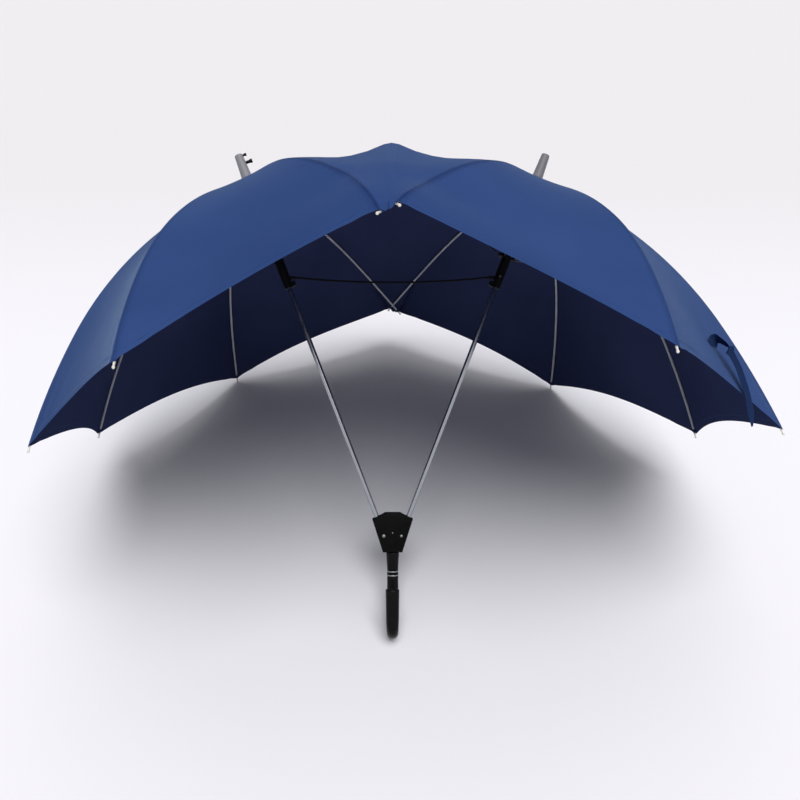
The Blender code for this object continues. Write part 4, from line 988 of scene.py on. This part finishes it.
def stitch_tree():
    """Running stitches along guide lines: spacing, length and thickness are the tree's inputs."""
    tree = bpy.data.node_groups.new("running stitches", "GeometryNodeTree")
    face = tree.interface
    face.new_socket("Guide", in_out="INPUT", socket_type="NodeSocketGeometry")
    for label in ("Spacing", "Stitch length", "Thread thickness"):
        face.new_socket(label, in_out="INPUT", socket_type="NodeSocketFloat")
    face.new_socket("Finish", in_out="INPUT", socket_type="NodeSocketMaterial")
    face.new_socket("Stitches", in_out="OUTPUT", socket_type="NodeSocketGeometry")

    def add(kind, settings=None, **wires):
        made = tree.nodes.new(kind)
        for key, value in (settings or {}).items():
            setattr(made, key, value)
        for key, value in wires.items():
            socket = made.inputs[key.replace("_", " ")]
            if isinstance(value, bpy.types.NodeSocket):
                tree.links.new(value, socket)
            else:
                socket.default_value = value
        return made
    start = tree.nodes.new("NodeGroupInput")
    end = tree.nodes.new("NodeGroupOutput")
    curve = add("GeometryNodeMeshToCurve", Mesh=start.outputs["Guide"])
    even = add("GeometryNodeResampleCurve", {"mode": "LENGTH"}, Curve=curve.outputs[0],
               Length=start.outputs["Spacing"])
    bead = add("GeometryNodeMeshUVSphere", Segments=6, Rings=4, Radius=1.0)
    size = tree.nodes.new("ShaderNodeCombineXYZ")
    for axis, label in enumerate(("Thread thickness", "Thread thickness", "Stitch length")):
        half = add("ShaderNodeMath", {"operation": "MULTIPLY"})
        half.inputs[1].default_value = 0.5
        tree.links.new(start.outputs[label], half.inputs[0])
        tree.links.new(half.outputs[0], size.inputs[axis])
    along = tree.nodes.new("GeometryNodeInputTangent")
    aim = add("FunctionNodeAlignRotationToVector", {"axis": "Z"}, Vector=along.outputs[0])
    spread = add("GeometryNodeInstanceOnPoints", Points=even.outputs[0], Instance=bead.outputs[0],
                 Rotation=aim.outputs[0], Scale=size.outputs[0])
    real = add("GeometryNodeRealizeInstances", Geometry=spread.outputs[0])
    dressed = add("GeometryNodeSetMaterial", Geometry=real.outputs[0], Material=start.outputs["Finish"])
    tree.links.new(dressed.outputs[0], end.inputs[0])
    return tree


stitching = stitch_tree()
stitch_clear = 0.00012


def sew(name, lines, spacing, length, thickness):
    """Sew running stitches along lines of the frame, as one plain mesh."""
    verts, edges = [], []
    for line in lines:
        base = len(verts)
        verts += [tuple(p) for p in line]
        edges += [(base + i, base + i + 1) for i in range(len(line) - 1)]
    guide_mesh = bpy.data.meshes.new("guide")
    guide_mesh.from_pydata(verts, edges, [])
    guide = link("guide", guide_mesh)
    modifier = guide.modifiers.new("stitches", "NODES")
    modifier.node_group = stitching
    sizes = {"Spacing": spacing, "Stitch length": length, "Thread thickness": thickness, "Finish": thread}
    for item in stitching.interface.items_tree:
        if item.in_out == "INPUT" and item.name in sizes:
            modifier[item.identifier] = sizes[item.name]
    graph = bpy.context.evaluated_depsgraph_get()
    mesh = bpy.data.meshes.new_from_object(guide.evaluated_get(graph))
    bpy.data.objects.remove(guide, do_unlink=True)
    mesh.name = name
    mesh.shade_smooth()
    return link(name, mesh)


def panels_beside(owner):
    """The pairs of ribs on both sides of a rib, and whether the rib is the second of the pair."""
    k = RIBS.index(owner)
    return [(RIBS[i], RIBS[i + 1], i < k) for i in (k - 1, k) if 0 <= i < len(RIBS) - 1]


def seam_lines(side, owner):
    """A line of stitches on each side of a rib; those of the centre seams stop before the pocket."""
    steps, first_step, pocket_step, inset_width, least_width = 120, 8, 92, 0.0016, 0.004
    up = shaft_frame(side)[1]
    lines = []
    for one, two, second in panels_beside(owner):
        line = []
        for step in range(first_step, pocket_step if family(owner) == "centre" else steps):
            share = step / steps
            inset = inset_width / max(panel_width(side, one, two, share), least_width)
            point = gore_point(side, one, two, 1.0 - inset if second else inset, share, cloth_thickness)
            line.append(stance @ (point + up * stitch_clear))
        lines.append(line)
    return lines


def hem_lines(side, owner):
    """A line of stitches along the hem band of a rib's cloth."""
    steps, share = 40, band_shares[1] + 0.0035
    lines = []
    for one, two, second in panels_beside(owner):
        low, high = (0.5, 0.985) if second else (0.015, 0.5)
        line = []
        for step in range(steps + 1):
            at = low + (high - low) * step / steps
            point = gore_point(side, one, two, at, share, cloth_thickness)
            line.append(stance @ (point + outward(side, point) * (hem_rise + stitch_clear)))
        lines.append(line)
    return lines


def sew_pocket(side, name):
    """Folded cloth pocket that holds the rib's tip at the hem."""
    centre = name == "front_centre"
    start, end = rib_length - (0.040 if centre else 0.017), rib_length - (0.0065 if centre else 0.0085)
    wide, narrow = (0.0042, 0.0027) if centre else (0.0028, 0.0022)
    high, steps, least_close = 0.0019, 16, 0.02
    rings = []
    for i in range(steps + 1):
        share = i / steps
        close = math.sqrt(max(1.0 - (2.0 * share - 1.0) ** 8, least_close))
        half = (wide + (narrow - wide) * share) * close
        rings.append(rib_ring(side, name, start + (end - start) * share, high * close, half, 20))
    made = fit("tip_pocket_" + side + "_" + name, skin(rings), cloth_outside if centre else cloth_inside_shaded,
               owner_body(side, name), smooth=60.0)
    layer = made.data.uv_layers.new(name="weave")
    for loop in made.data.loops:
        spot = made.data.vertices[loop.vertex_index].co
        layer.data[loop.index].uv = (spot.x, spot.y + spot.z)
    return made


def ride_cloth(piece, body, fold=None):
    """Put a piece of cloth on its body; one with a fold gets its own copy of its mesh."""
    if fold:
        body + "_fold"
        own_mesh(piece)
    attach(piece, body)


def dress_side(side):
    cloth = Cloth(side)
    lay_gores(cloth)
    lay_panel(cloth)
    normals = whole_normals(cloth)
    crown = shaft_frame(side)[3]
    for owner in RIBS + BATTENS:
        body = owner_body(side, owner)
        label = side + "_over_" + owner
        out, cross = rib_direction(side, owner)
        fold = (stance.to_3x3() @ cross, stance @ (crown + out * hinge_radius))
        made, area = finish_sheet("canopy_" + label, cloth, owner, normals)
        ride_cloth(made, body, fold)
        carried = []
        if owner in RIBS:
            lines = seam_lines(side, owner) + hem_lines(side, owner)
            sewn = sew("stitches_" + label, lines, spacing=0.0042, length=0.0027, thickness=0.00042)
            ride_cloth(sewn, body, fold)
            strip = finish_sheet("seam_" + label, cloth, owner + "_seam", normals)[0]
            ride_cloth(strip, body)
            carried = [sewn, strip, sew_pocket(side, owner)]
        if owner == RIBS[0]:
            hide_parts("canopy_" + side)


for side_name in SIGN:
    dress_side(side_name)


# Tie strap
def strap_rows():
    """Places of the strap on the cloth: across, along, height and skew, on a smooth curve."""
    rows = ((0.590, 0.885, 0.0012, 0.48), (0.590, 0.871, 0.0090, 0.48), (0.611, 0.899, 0.0175, 0.41),
            (0.632, 0.914, 0.0160, 0.34), (0.674, 0.942, 0.0130, 0.19), (0.705, 0.972, 0.0084, 0.07),
            (0.722, 0.990, 0.0056, 0.0))
    parts = 8
    made = []
    for i in range(len(rows) - 1):
        before, here, there, after = (rows[min(max(k, 0), len(rows) - 1)] for k in (i - 1, i, i + 1, i + 2))
        for j in range(parts):
            t = j / parts
            made.append(tuple(0.5 * (2.0 * b + (c - a) * t + (2.0 * a - 5.0 * b + 4.0 * c - d) * t * t
                                     + (3.0 * b - a - 3.0 * c + d) * t ** 3)
                              for a, b, c, d in zip(before, here, there, after)))
    return made + [rows[-1]]


def hang_strap():
    side, one, two, body = "right", "front_corner", "front_end", "rib_right_front_end"
    width, thickness, tip_width, hang, taper = 0.018, 0.0009, 0.0022, 0.052, 0.020
    steps, columns, edge_at, cupping, stitch_lift = 26, 8, 0.80, 0.0008, 0.0006
    edge_thinning, taper_power = 0.55, 0.75
    leave, fall = Vector((0.20, -0.10, -0.97)), Vector((0.12, 0.15, -0.98))
    lay = []
    for across, share, height, skew in strap_rows():
        low, beyond, below = (gore_point(side, one, two, across + a, share + b, cloth_thickness)
                              for a, b in ((0.0, 0.0), (0.03, 0.0), (0.0, 0.01)))
        wide, long = (beyond - low).normalized(), (below - low).normalized()
        lift = wide.cross(long).normalized()
        if lift.dot(low - shaft_frame(side)[3]) < 0.0:
            lift.negate()
        lay.append((low + lift * height, (wide + long * skew).normalized()))
    last, wide = lay[-1]
    for i in range(1, steps + 1):
        last = last + leave.lerp(fall, i / steps).normalized() * (hang / steps)
        lay.append((last, wide))
    final = len(lay) - 1
    rings, runs, edges = [], [0.0], ([], [])
    for i, (centre, wide) in enumerate(lay):
        left_over = (final - i) * hang / steps
        half = width / 2.0
        if left_over < taper:
            half = (tip_width + (width - tip_width) * (left_over / taper) ** taper_power) / 2.0
        along = (lay[min(i + 1, final)][0] - lay[max(i - 1, 0)][0]).normalized()
        wide = (wide - along * wide.dot(along)).normalized()
        upper = along.cross(wide).normalized()
        if i:
            runs.append(runs[-1] + (centre - lay[i - 1][0]).length)
        ring = []
        for face_side in (1.0, -1.0):
            for k in range(columns + 1):
                at = 2.0 * k / columns - 1.0
                thin = 1.0 - edge_thinning * max(abs(at) - edge_at, 0.0) / (1.0 - edge_at)
                offset = upper * (face_side * thickness / 2.0 * thin + cupping * at * at)
                ring.append(centre + wide * (half * at * face_side) + offset)
        rings.append(ring)
        for line, at in zip(edges, (-edge_at, edge_at)):
            line.append(stance @ (centre + wide * (half * at) + upper * (thickness / 2.0 + stitch_lift)))
    strap = fit("tie_strap_cloth", sleeve(rings, width / columns, runs), strap_cloth_shaded, body,
                ("tie_strap",), 50.0)
    sewn = sew("tie_strap_stitches", [line[3:-8] for line in edges], spacing=0.0036, length=0.0024,
               thickness=0.00045)
    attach(sewn, body)


hang_strap()


# Shafts and finials
def dress_shaft(side):
    pivot, up, _, _ = shaft_frame(side)
    top, foot, chamfer = pivot_to_crown + cap_height - seat_gap, -shaft_below_pivot, 0.0003
    bore = shaft_radius - 0.0008
    profile = [(bore, foot), (shaft_radius - chamfer, foot), (shaft_radius, foot + chamfer)]
    profile += [(shaft_radius, foot + 0.02 + (top - 0.02) * k / 24.0) for k in range(25)]
    profile += [(shaft_radius, top), (bore, top)]
    body = "shaft_" + side
    fit("shaft_tube_" + side, turned(profile, pivot, up, 40, True), shaft_steel, body, (body,))


def dress_finial(side):
    """Rounded block with a flatter back and a curved skirt before the cap."""
    _, up, inward, crown = shaft_frame(side)
    front = -rearward
    foot = crown + up * (cap_height + seat_gap)
    length, wide, top_wide, deep, top_deep = 0.0428, 0.018, 0.0136, 0.0204, 0.0145
    dome_from, dome_cut, dome_power, foot_cut, foot_to = 0.95, 0.20, 2.6, 0.05, 0.03
    levels, sides, front_power, back_power = 40, 64, 0.86, 0.62
    rings = []
    for i in range(levels + 1):
        share = i / levels
        rounded = 1.0 - foot_cut * max(1.0 - share / foot_to, 0.0)
        if share >= dome_from:
            rounded = 1.0 - dome_cut * ((share - dome_from) / (1.0 - dome_from)) ** dome_power
        rings.append(oval(foot + up * (length * share),
                          inward * ((wide + (top_wide - wide) * share) / 2.0 * rounded),
                          front * ((deep + (top_deep - deep) * share) / 2.0 * rounded),
                          sides, front_power, back_power))
    bm = skin(rings)
    skirt_steps, skirt_turn, skirt_low, skirt_high = 24, 48.0, 0.004, 0.0024
    skirt_gap, skirt_out = 0.0003, 0.0010
    skirt = []
    for i in range(skirt_steps + 1):
        share = 2.0 * i / skirt_steps - 1.0
        turn = math.radians(skirt_turn) * share
        spoke = front * math.cos(turn) + inward * math.sin(turn)
        low = up * (-skirt_low * (0.25 + 0.75 * math.cos(math.radians(90.0) * share)))
        high = up * skirt_high
        near = foot + spoke * (cap_radius + skirt_gap)
        far = foot + spoke * (cap_radius + skirt_out)
        skirt.append([near + low, far + low, far + high, near + high])
    skin(skirt, into=bm)
    finish, slot = {"left": (silver_plastic, "finial_silver"), "right": (grey_plastic, "finial_grey")}[side]
    fit("finial_shell_" + side, bm, finish, "shaft_" + side, ("finial_" + side,), 40.0)
    if side != "left":
        return
    sunk = 0.0006
    for label, height, stem, stem_length, head, head_length in (
            ("knob", 0.0395, 0.0019, 0.0030, 0.0025, 0.0030),
            ("peg", 0.0262, 0.0026, 0.0072, 0.0035, 0.0038)):
        half = (wide + (top_wide - wide) * height / length) / 2.0
        root = foot + up * height + inward * (half - sunk)
        end = stem_length + head_length + sunk
        profile = eased([(0.0, 0.0), (stem, 0.0), (stem, stem_length), (head, stem_length + sunk),
                         (head, end), (0.0, end)], 0.0005, 4)
        fit("finial_" + label + "_part", turned(profile, root, inward, 32), black_plastic,
            "shaft_left", ("finial_" + label + "_left",))


for side_name in SIGN:
    dress_shaft(side_name)
    dress_finial(side_name)


# Bracket, pins, neck, rings and hook grip
def plate(name, face_y, back_y, web, stands_for):
    edge_round, web_front, web_back = 0.0015, 0.8, -0.5
    outline = ((0.0125, plate_top), (0.020, 0.034), (0.034, 0.0282), (0.016, plate_foot))
    points = list(outline) + [(-w, h) for w, h in reversed(outline)]
    bm = skin([[Vector((w, y, h)) for w, h in points] for y in (face_y, back_y)])
    bmesh.ops.recalc_face_normals(bm, faces=bm.faces)
    bmesh.ops.bevel(bm, geom=list(bm.edges), offset=edge_round, segments=4, profile=0.5, affect="EDGES")
    if web:
        skin([[Vector((x, face_y * y, z)) for x, z in web] for y in (web_front, web_back)], into=bm)
    fit(name, bm, bracket_black, "handle", (stands_for,))


plate_top, plate_foot = 0.0382, -0.0274
plate_inner, plate_outer = 0.0045, 0.008
neck_radius, neck_top_radius, core_radius = 0.00915, 0.01065, 0.006
neck_bottom = -0.0578
ring_heights = {"ring_upper": -0.0593, "ring_lower": -0.0657}
ring_half, ring_bore, ring_rim = 0.0008, 0.0063, 0.0097
grip_top = ring_heights["ring_lower"] - ring_half - seat_gap


def dress_bracket():
    web = [(0.0066, plate_foot), (0.0066, 0.014), (0.0098, 0.034)]
    web += [(-x, z) for x, z in reversed(web)]
    plate("bracket_plate_front", -plate_outer, -plate_inner, web, "bracket_front")
    plate("bracket_plate_rear", plate_outer, plate_inner, None, "bracket_rear")
    pin_radius, rim, dome_high, half = 0.0018, 0.0004, 0.0009, plate_outer + seat_gap
    turns = [math.radians(a) for a in range(0, 86, 14)]
    for side, sign in SIGN.items():
        head = 0.0029 if side == "left" else 0.0024
        end = half + rim + dome_high
        dome = [(head * math.cos(a), half + rim + dome_high * math.sin(a)) for a in turns]
        profile = [(0.0, -end)] + [(r, -h) for r, h in reversed(dome)]
        profile += [(head, -half), (pin_radius, -half), (pin_radius, half), (head, half)]
        profile += dome + [(0.0, end)]
        fit("pivot_rivet_" + side, turned(profile, Vector((sign * pivot_half_gap, 0.0, 0.0)), rearward, 40),
            rivet_steel, "handle", ("pivot_pin_" + side,))
    head, head_high, thread_radius, depth = 0.0011, 0.0006, 0.0007, 0.0025
    profile = eased([(0.0, -head_high), (head, -head_high), (head, 0.0), (thread_radius, 0.0),
                     (thread_radius, depth), (0.0, depth)], 0.0003)
    place = Vector((0.0, -plate_outer - seat_gap, 0.005))
    fit("bracket_small_screw", turned(profile, place, rearward, 24), rivet_steel, "handle",
        ("bracket_screw",))


def dress_neck():
    top = plate_foot - seat_gap
    tall = top - neck_bottom
    profile = eased([(0.0, neck_bottom), (neck_radius, neck_bottom),
                     (neck_radius, neck_bottom + tall * 0.12), (neck_top_radius, top - tall * 0.10),
                     (neck_top_radius, top), (0.0, top)], 0.0012, 4)
    fit("neck_sleeve", turned(profile, origin, upright, 56), grip_black, "handle",
        ("handle_neck",))
    low = ring_heights["ring_lower"] + ring_half + seat_gap
    high = ring_heights["ring_upper"] - ring_half - seat_gap
    profile = [(0.0, grip_top + seat_gap), (core_radius, grip_top + seat_gap), (core_radius, low)]
    profile += eased([(core_radius, low), (neck_radius, low), (neck_radius, high), (core_radius, high)],
                     0.0006)
    profile += [(core_radius, neck_bottom - seat_gap), (0.0, neck_bottom - seat_gap)]
    fit("neck_collar", turned(profile, origin, upright, 56), grip_black, "handle",
        ("handle_collar",))
    for label, height in ring_heights.items():
        low, high = height - ring_half, height + ring_half
        profile = eased([(ring_bore, low), (ring_rim, low), (ring_rim, high), (ring_bore, high)], 0.0006, 5)
        fit("trim_" + label, turned(profile, origin, upright, 64, True), trim_steel, "handle",
            (label,))


def dress_grip():
    """The crook: a straight stem, a half circle, a short arm and a rounded tip, slowly swelling."""
    hook, centre, tip, fillet, step = 0.025, -0.130, -0.079, 0.0035, 0.0006
    stem, turns, arm = 14, 48, 12
    end = tip - fillet
    rows = [(Vector((0.0, 0.0, grip_top - step * k)), -upright, 1.0 - 0.06 * (1.0 - k / 2.0) ** 2)
            for k in range(3)]
    start = grip_top - step * 2.0
    rows += [(Vector((0.0, 0.0, start + (centre - start) * i / stem)), -upright, 1.0)
             for i in range(1, stem + 1)]
    first = len(rows) - 1
    for i in range(1, turns + 1):
        turn = math.pi * i / turns
        rows.append((Vector((0.0, hook * (math.cos(turn) - 1.0), centre - hook * math.sin(turn))),
                     Vector((0.0, -math.sin(turn), -math.cos(turn))), 1.0))
    rows += [(Vector((0.0, -2.0 * hook, centre + (end - centre) * i / arm)), upright, 1.0)
             for i in range(1, arm + 1)]
    last = len(rows) - 1
    rows += [(rows[last][0] + upright * (fillet * math.sin(math.radians(a))), upright,
              math.cos(math.radians(a))) for a in (12, 24, 36, 48, 60, 72, 82, 88)]
    rings = []
    for i, (point, way, shrink) in enumerate(rows):
        swell = max(min(max((i - first) / (last - first), 0.0), 1.0) * 2.0 - 1.0, 0.0)
        halves = [0.0093 + 0.0017 * swell, 0.0091 + 0.0007 * swell]
        if i > last:
            halves = [half - fillet * (1.0 - shrink) for half in halves]
        else:
            halves = [half * shrink for half in halves]
        across = Vector((1.0, 0.0, 0.0))
        rings.append(oval(point, across * halves[0], across.cross(way) * halves[1], 40, 0.9))
    fit("hook_grip", skin(rings), grip_black, "handle", ("handle_grip",), 50.0)


dress_bracket()
dress_neck()
dress_grip()


# Ribs, stretchers and battens
joint_spots = {joint["name"]: Vector(joint["pos_m"]) for joint in frame["joints"] if "pos_m" in joint}


def joint_length(side, name):
    """Length along a rib where its stretcher is pinned."""
    spot = stance.inverted() @ joint_spots["stretcher_" + side + "_" + name + "_pivot"]
    low, high = rib_length * 0.3, rib_length * 0.6
    for _ in range(40):
        one, two = low + (high - low) / 3.0, high - (high - low) / 3.0
        gaps = [(rib_point(side, name, s, -joint_drop) - spot).length for s in (one, two)]
        if gaps[0] < gaps[1]:
            high = two
        else:
            low = one
    return (low + high) / 2.0


def channel_ring(side, name, s):
    """Pressed channel, open below, with rounded shoulders; thinner in the pockets of the centre seams."""
    half = rib_half_width
    if s <= rib_root_length:
        half = rib_root_half_width
    elif s < rib_root_length + rib_flare_length:
        half += (rib_root_half_width - half) * (1.0 - (s - rib_root_length) / rib_flare_length)
    elif s > rib_length - rib_tip_taper:
        half += (rib_root_half_width - half) * (s - rib_length + rib_tip_taper) / rib_tip_taper
    top = rib_half_height
    if family(name) == "centre":
        share = (low_run[0] - (rib_length - s)) / (low_run[0] - low_run[1])
        top += (low_top - top) * min(max(share, 0.0), 1.0)
    inner, ceiling, foot = half - rib_sheet, top - rib_sheet, -rib_half_height
    turns = [math.radians(a) for a in (0, 30, 60, 90)]
    bend = [(half - rib_shoulder * (1.0 - math.cos(a)), top - rib_shoulder * (1.0 - math.sin(a)))
            for a in turns]
    section = [(-half, foot)] + [(-x, z) for x, z in bend] + bend[::-1]
    section += [(half, foot), (inner, foot), (inner, ceiling), (-inner, ceiling), (-inner, foot)]
    return [rib_point(side, name, s, lift, across) for across, lift in section]


def box_between(centre, axes, halves, into):
    corners = ((-1, -1), (1, -1), (1, 1), (-1, 1))
    skin([[centre + axes[0] * (halves[0] * a) + axes[1] * (halves[1] * b) + axes[2] * (halves[2] * c)
           for a, b in corners] for c in (-1, 1)], into=into)


def tip_way(side, name, length):
    """The end of a rib or batten, and the way it points."""
    tip = rib_point(side, name, length)
    return tip, (tip - rib_point(side, name, length - 0.004)).normalized()


def dress_rib(side, name):
    up = shaft_frame(side)[1]
    out, cross = rib_direction(side, name)
    body = owner_body(side, name)
    flare = rib_root_length + rib_flare_length
    end = rib_length - 0.006
    places = [-rib_root_back, 0.0, rib_root_length * 0.5, rib_root_length,
              rib_root_length + rib_flare_length * 0.5]
    places += [flare + (end - flare) * k / 48.0 for k in range(49)]
    bm = skin([channel_ring(side, name, s) for s in places])
    joint = joint_length(side, name)
    slope = rib_slope(side, name, joint)
    along = out * math.cos(slope) - up * math.sin(slope)
    normal = out * math.sin(slope) + up * math.cos(slope)
    tab_depth, tab_half_length = 0.0034, 0.0017
    drop = (tab_depth - rib_half_height * 0.3) / 2.0
    box_between(rib_point(side, name, joint, drop - tab_depth), (along, cross, normal),
                (tab_half_length, rib_half_width * 0.96, drop), bm)
    reach = rib_half_width + eyelet_side_gap * 2.0 + stretcher_half_thickness * 2.0
    pin, head, near, far = 0.0009, 0.0017, rib_half_width * 0.5, reach + 0.0006
    profile = [(0.0, near), (pin, near), (pin, reach), (head, reach), (head - 0.0002, far - 0.0002),
               (pin, far), (0.0, far)]
    turned(profile, rib_point(side, name, joint, -joint_drop), cross * end_sign(name), 20, into=bm)
    fit("rib_channel_" + side + "_" + name, bm, rib_steel, body, (body,))
    profile = eased([(0.0, -tip_sleeve), (0.0017, -tip_sleeve), (0.0013, -0.0022), (0.0019, -0.0010),
                     (0.0020, 0.0), (0.0017, 0.0011), (0.0010, 0.0018), (0.0, 0.0020)], 0.0004, 2)
    fit("rib_tip_" + side + "_" + name, turned(profile, *tip_way(side, name, rib_length), 24), tip_plastic,
        body, smooth=60.0)
    dress_stretcher(side, name, joint)


def dress_stretcher(side, name, joint):
    _, up, _, crown = shaft_frame(side)
    out, cross = rib_direction(side, name)
    thick, high, end_high = stretcher_half_thickness, stretcher_half_height, stretcher_end_half_height
    offset = cross * (end_sign(name) * (rib_half_width + eyelet_side_gap + thick))
    start = rib_point(side, name, joint, -joint_drop)
    along = crown + out * ring_radius - up * ring_depth - start
    span = along.length
    along.normalize()
    rise = along.cross(cross).normalized()
    steps, straight, thinning = 28, 0.26, 0.6
    root = eyelet_radius * 0.6
    rings = []
    for i in range(steps + 1):
        share = i / steps
        slide = 1.0 if share < straight else (1.0 - share) / (1.0 - straight)
        tall = high + (end_high - high) * max(share - thinning, 0.0) / (1.0 - thinning)
        rings.append(oval(start + along * (root + (span - root) * share) + offset * slide,
                          cross * thick, rise * tall, 12))
    rings.append(oval(start + along * (span + end_high), cross * (thick * 0.7), rise * (end_high * 0.6),
                      12))
    bm = skin(rings)
    half = thick * 0.92
    hole = 0.0012
    profile = eased([(hole, -half), (eyelet_radius, -half), (eyelet_radius, half), (hole, half)], 0.0003, 2)
    turned(profile, start + offset, cross, 24, True, bm)
    body = "stretcher_" + side + "_" + name
    fit("stretcher_rod_" + side + "_" + name, bm, stretcher_steel, body, (body,))


def dress_batten(side, name):
    places = [-rib_root_back, 0.0] + [batten_length * k / 36.0 for k in range(1, 37)]
    rings = []
    for s in places:
        half = min(batten_radius, rib_root_half_width) if s <= rib_root_length else batten_radius
        rings.append(rib_ring(side, name, s, batten_radius, half, 14))
    bm = skin(rings)
    ball = 0.0016
    turns = [math.radians(a) for a in range(-75, 76, 25)]
    profile = [(0.0, -ball)] + [(ball * math.cos(a), ball * math.sin(a)) for a in turns] + [(0.0, ball)]
    turned(profile, *tip_way(side, name, batten_length), 20, into=bm)
    body = owner_body(side, name)
    fit(body.replace("batten_", "batten_rod_"), bm, rib_steel, body, (body,))


for side_name in SIGN:
    for rib_name in RIBS:
        dress_rib(side_name, rib_name)
    for rib_name in BATTENS:
        dress_batten(side_name, rib_name)


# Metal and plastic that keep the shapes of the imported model
for side_name in SIGN:
    for part in ("crown_", "crown_cap_", "runner_", "latch_", "runner_rivet_"):
        rivet = part == "runner_rivet_"
        made = frame["nodes"][part + side_name]
        made.data.materials.clear()
        made.data.materials.append(rivet_steel if rivet else black_plastic)


# Floor and light
def lay_floor():
    """A wide floor, with painted shade making it a little darker far behind the umbrella."""
    near_y, far_y, reach = 0.2, 1.3, 9.0
    made = Finish("studio floor", roughness=0.85, specular_ior_level=0.2)
    behind = made.node("ShaderNodeSeparateXYZ", {}, {"Vector": made.place()}, out=1)
    far = made.node("ShaderNodeMapRange", {"interpolation_type": "SMOOTHSTEP"},
                    {"Value": behind, "From Min": near_y, "From Max": far_y, "To Min": 0.0, "To Max": 1.0})
    near_tone = made.mix(made.noise(1.2) * 0.5, paint(243, 241, 246), paint(239, 238, 243))
    # Painted shade: the floor's colour darkens from near_y to far_y behind the umbrella
    made.set(base_color=made.mix(far, near_tone, paint(231, 228, 231)))
    corners = ((-reach, -reach), (reach, -reach), (reach, reach * 2.0), (-reach, reach * 2.0))
    mesh = bpy.data.meshes.new("studio_floor")
    mesh.from_pydata([(x, y, 0.0) for x, y in corners], [], [(0, 1, 2, 3)])
    mesh.materials.append(made.material)
    link("studio_floor", mesh)


def set_lights():
    """A soft key over the camera, and a white surround seen by the camera and in gloss."""
    surround, spread = (0.97, 0.98, 1.0, 1.0), math.radians(40.0)
    world = bpy.data.worlds.new("studio")
    bpy.context.scene.world = world
    world.use_nodes = True
    tree = world.node_tree
    soft = tree.nodes["Background"]
    bright = tree.nodes.new("ShaderNodeBackground")
    for shade, strength in ((soft, 0.30), (bright, 0.95)):
        shade.inputs["Color"].default_value = surround
        shade.inputs["Strength"].default_value = strength
    rays = tree.nodes.new("ShaderNodeLightPath")
    seen = rays.outputs["Is Camera Ray"]
    for label in ("Is Glossy Ray", "Is Transmission Ray"):
        either = tree.nodes.new("ShaderNodeMath")
        either.operation = "ADD"
        either.use_clamp = True
        tree.links.new(seen, either.inputs[0])
        tree.links.new(rays.outputs[label], either.inputs[1])
        seen = either.outputs[0]
    choice = tree.nodes.new("ShaderNodeMixShader")
    for socket, wire in zip(choice.inputs, (seen, soft.outputs[0], bright.outputs[0])):
        tree.links.new(wire, socket)
    tree.links.new(choice.outputs[0], tree.nodes["World Output"].inputs["Surface"])
    for label, power, aim in (("key", 2.30, (-0.11, 0.28, -1.0)), ("back", 0.35, (0.0, -0.5, -1.0))):
        lamp = bpy.data.lights.new(label, "SUN")
        lamp.energy = power
        lamp.angle = spread
        link(label, lamp).rotation_euler = Vector(aim).to_track_quat("-Z", "Y").to_euler()


lay_floor()
set_lights()
bpy.context.scene.view_settings.view_transform = "Standard"
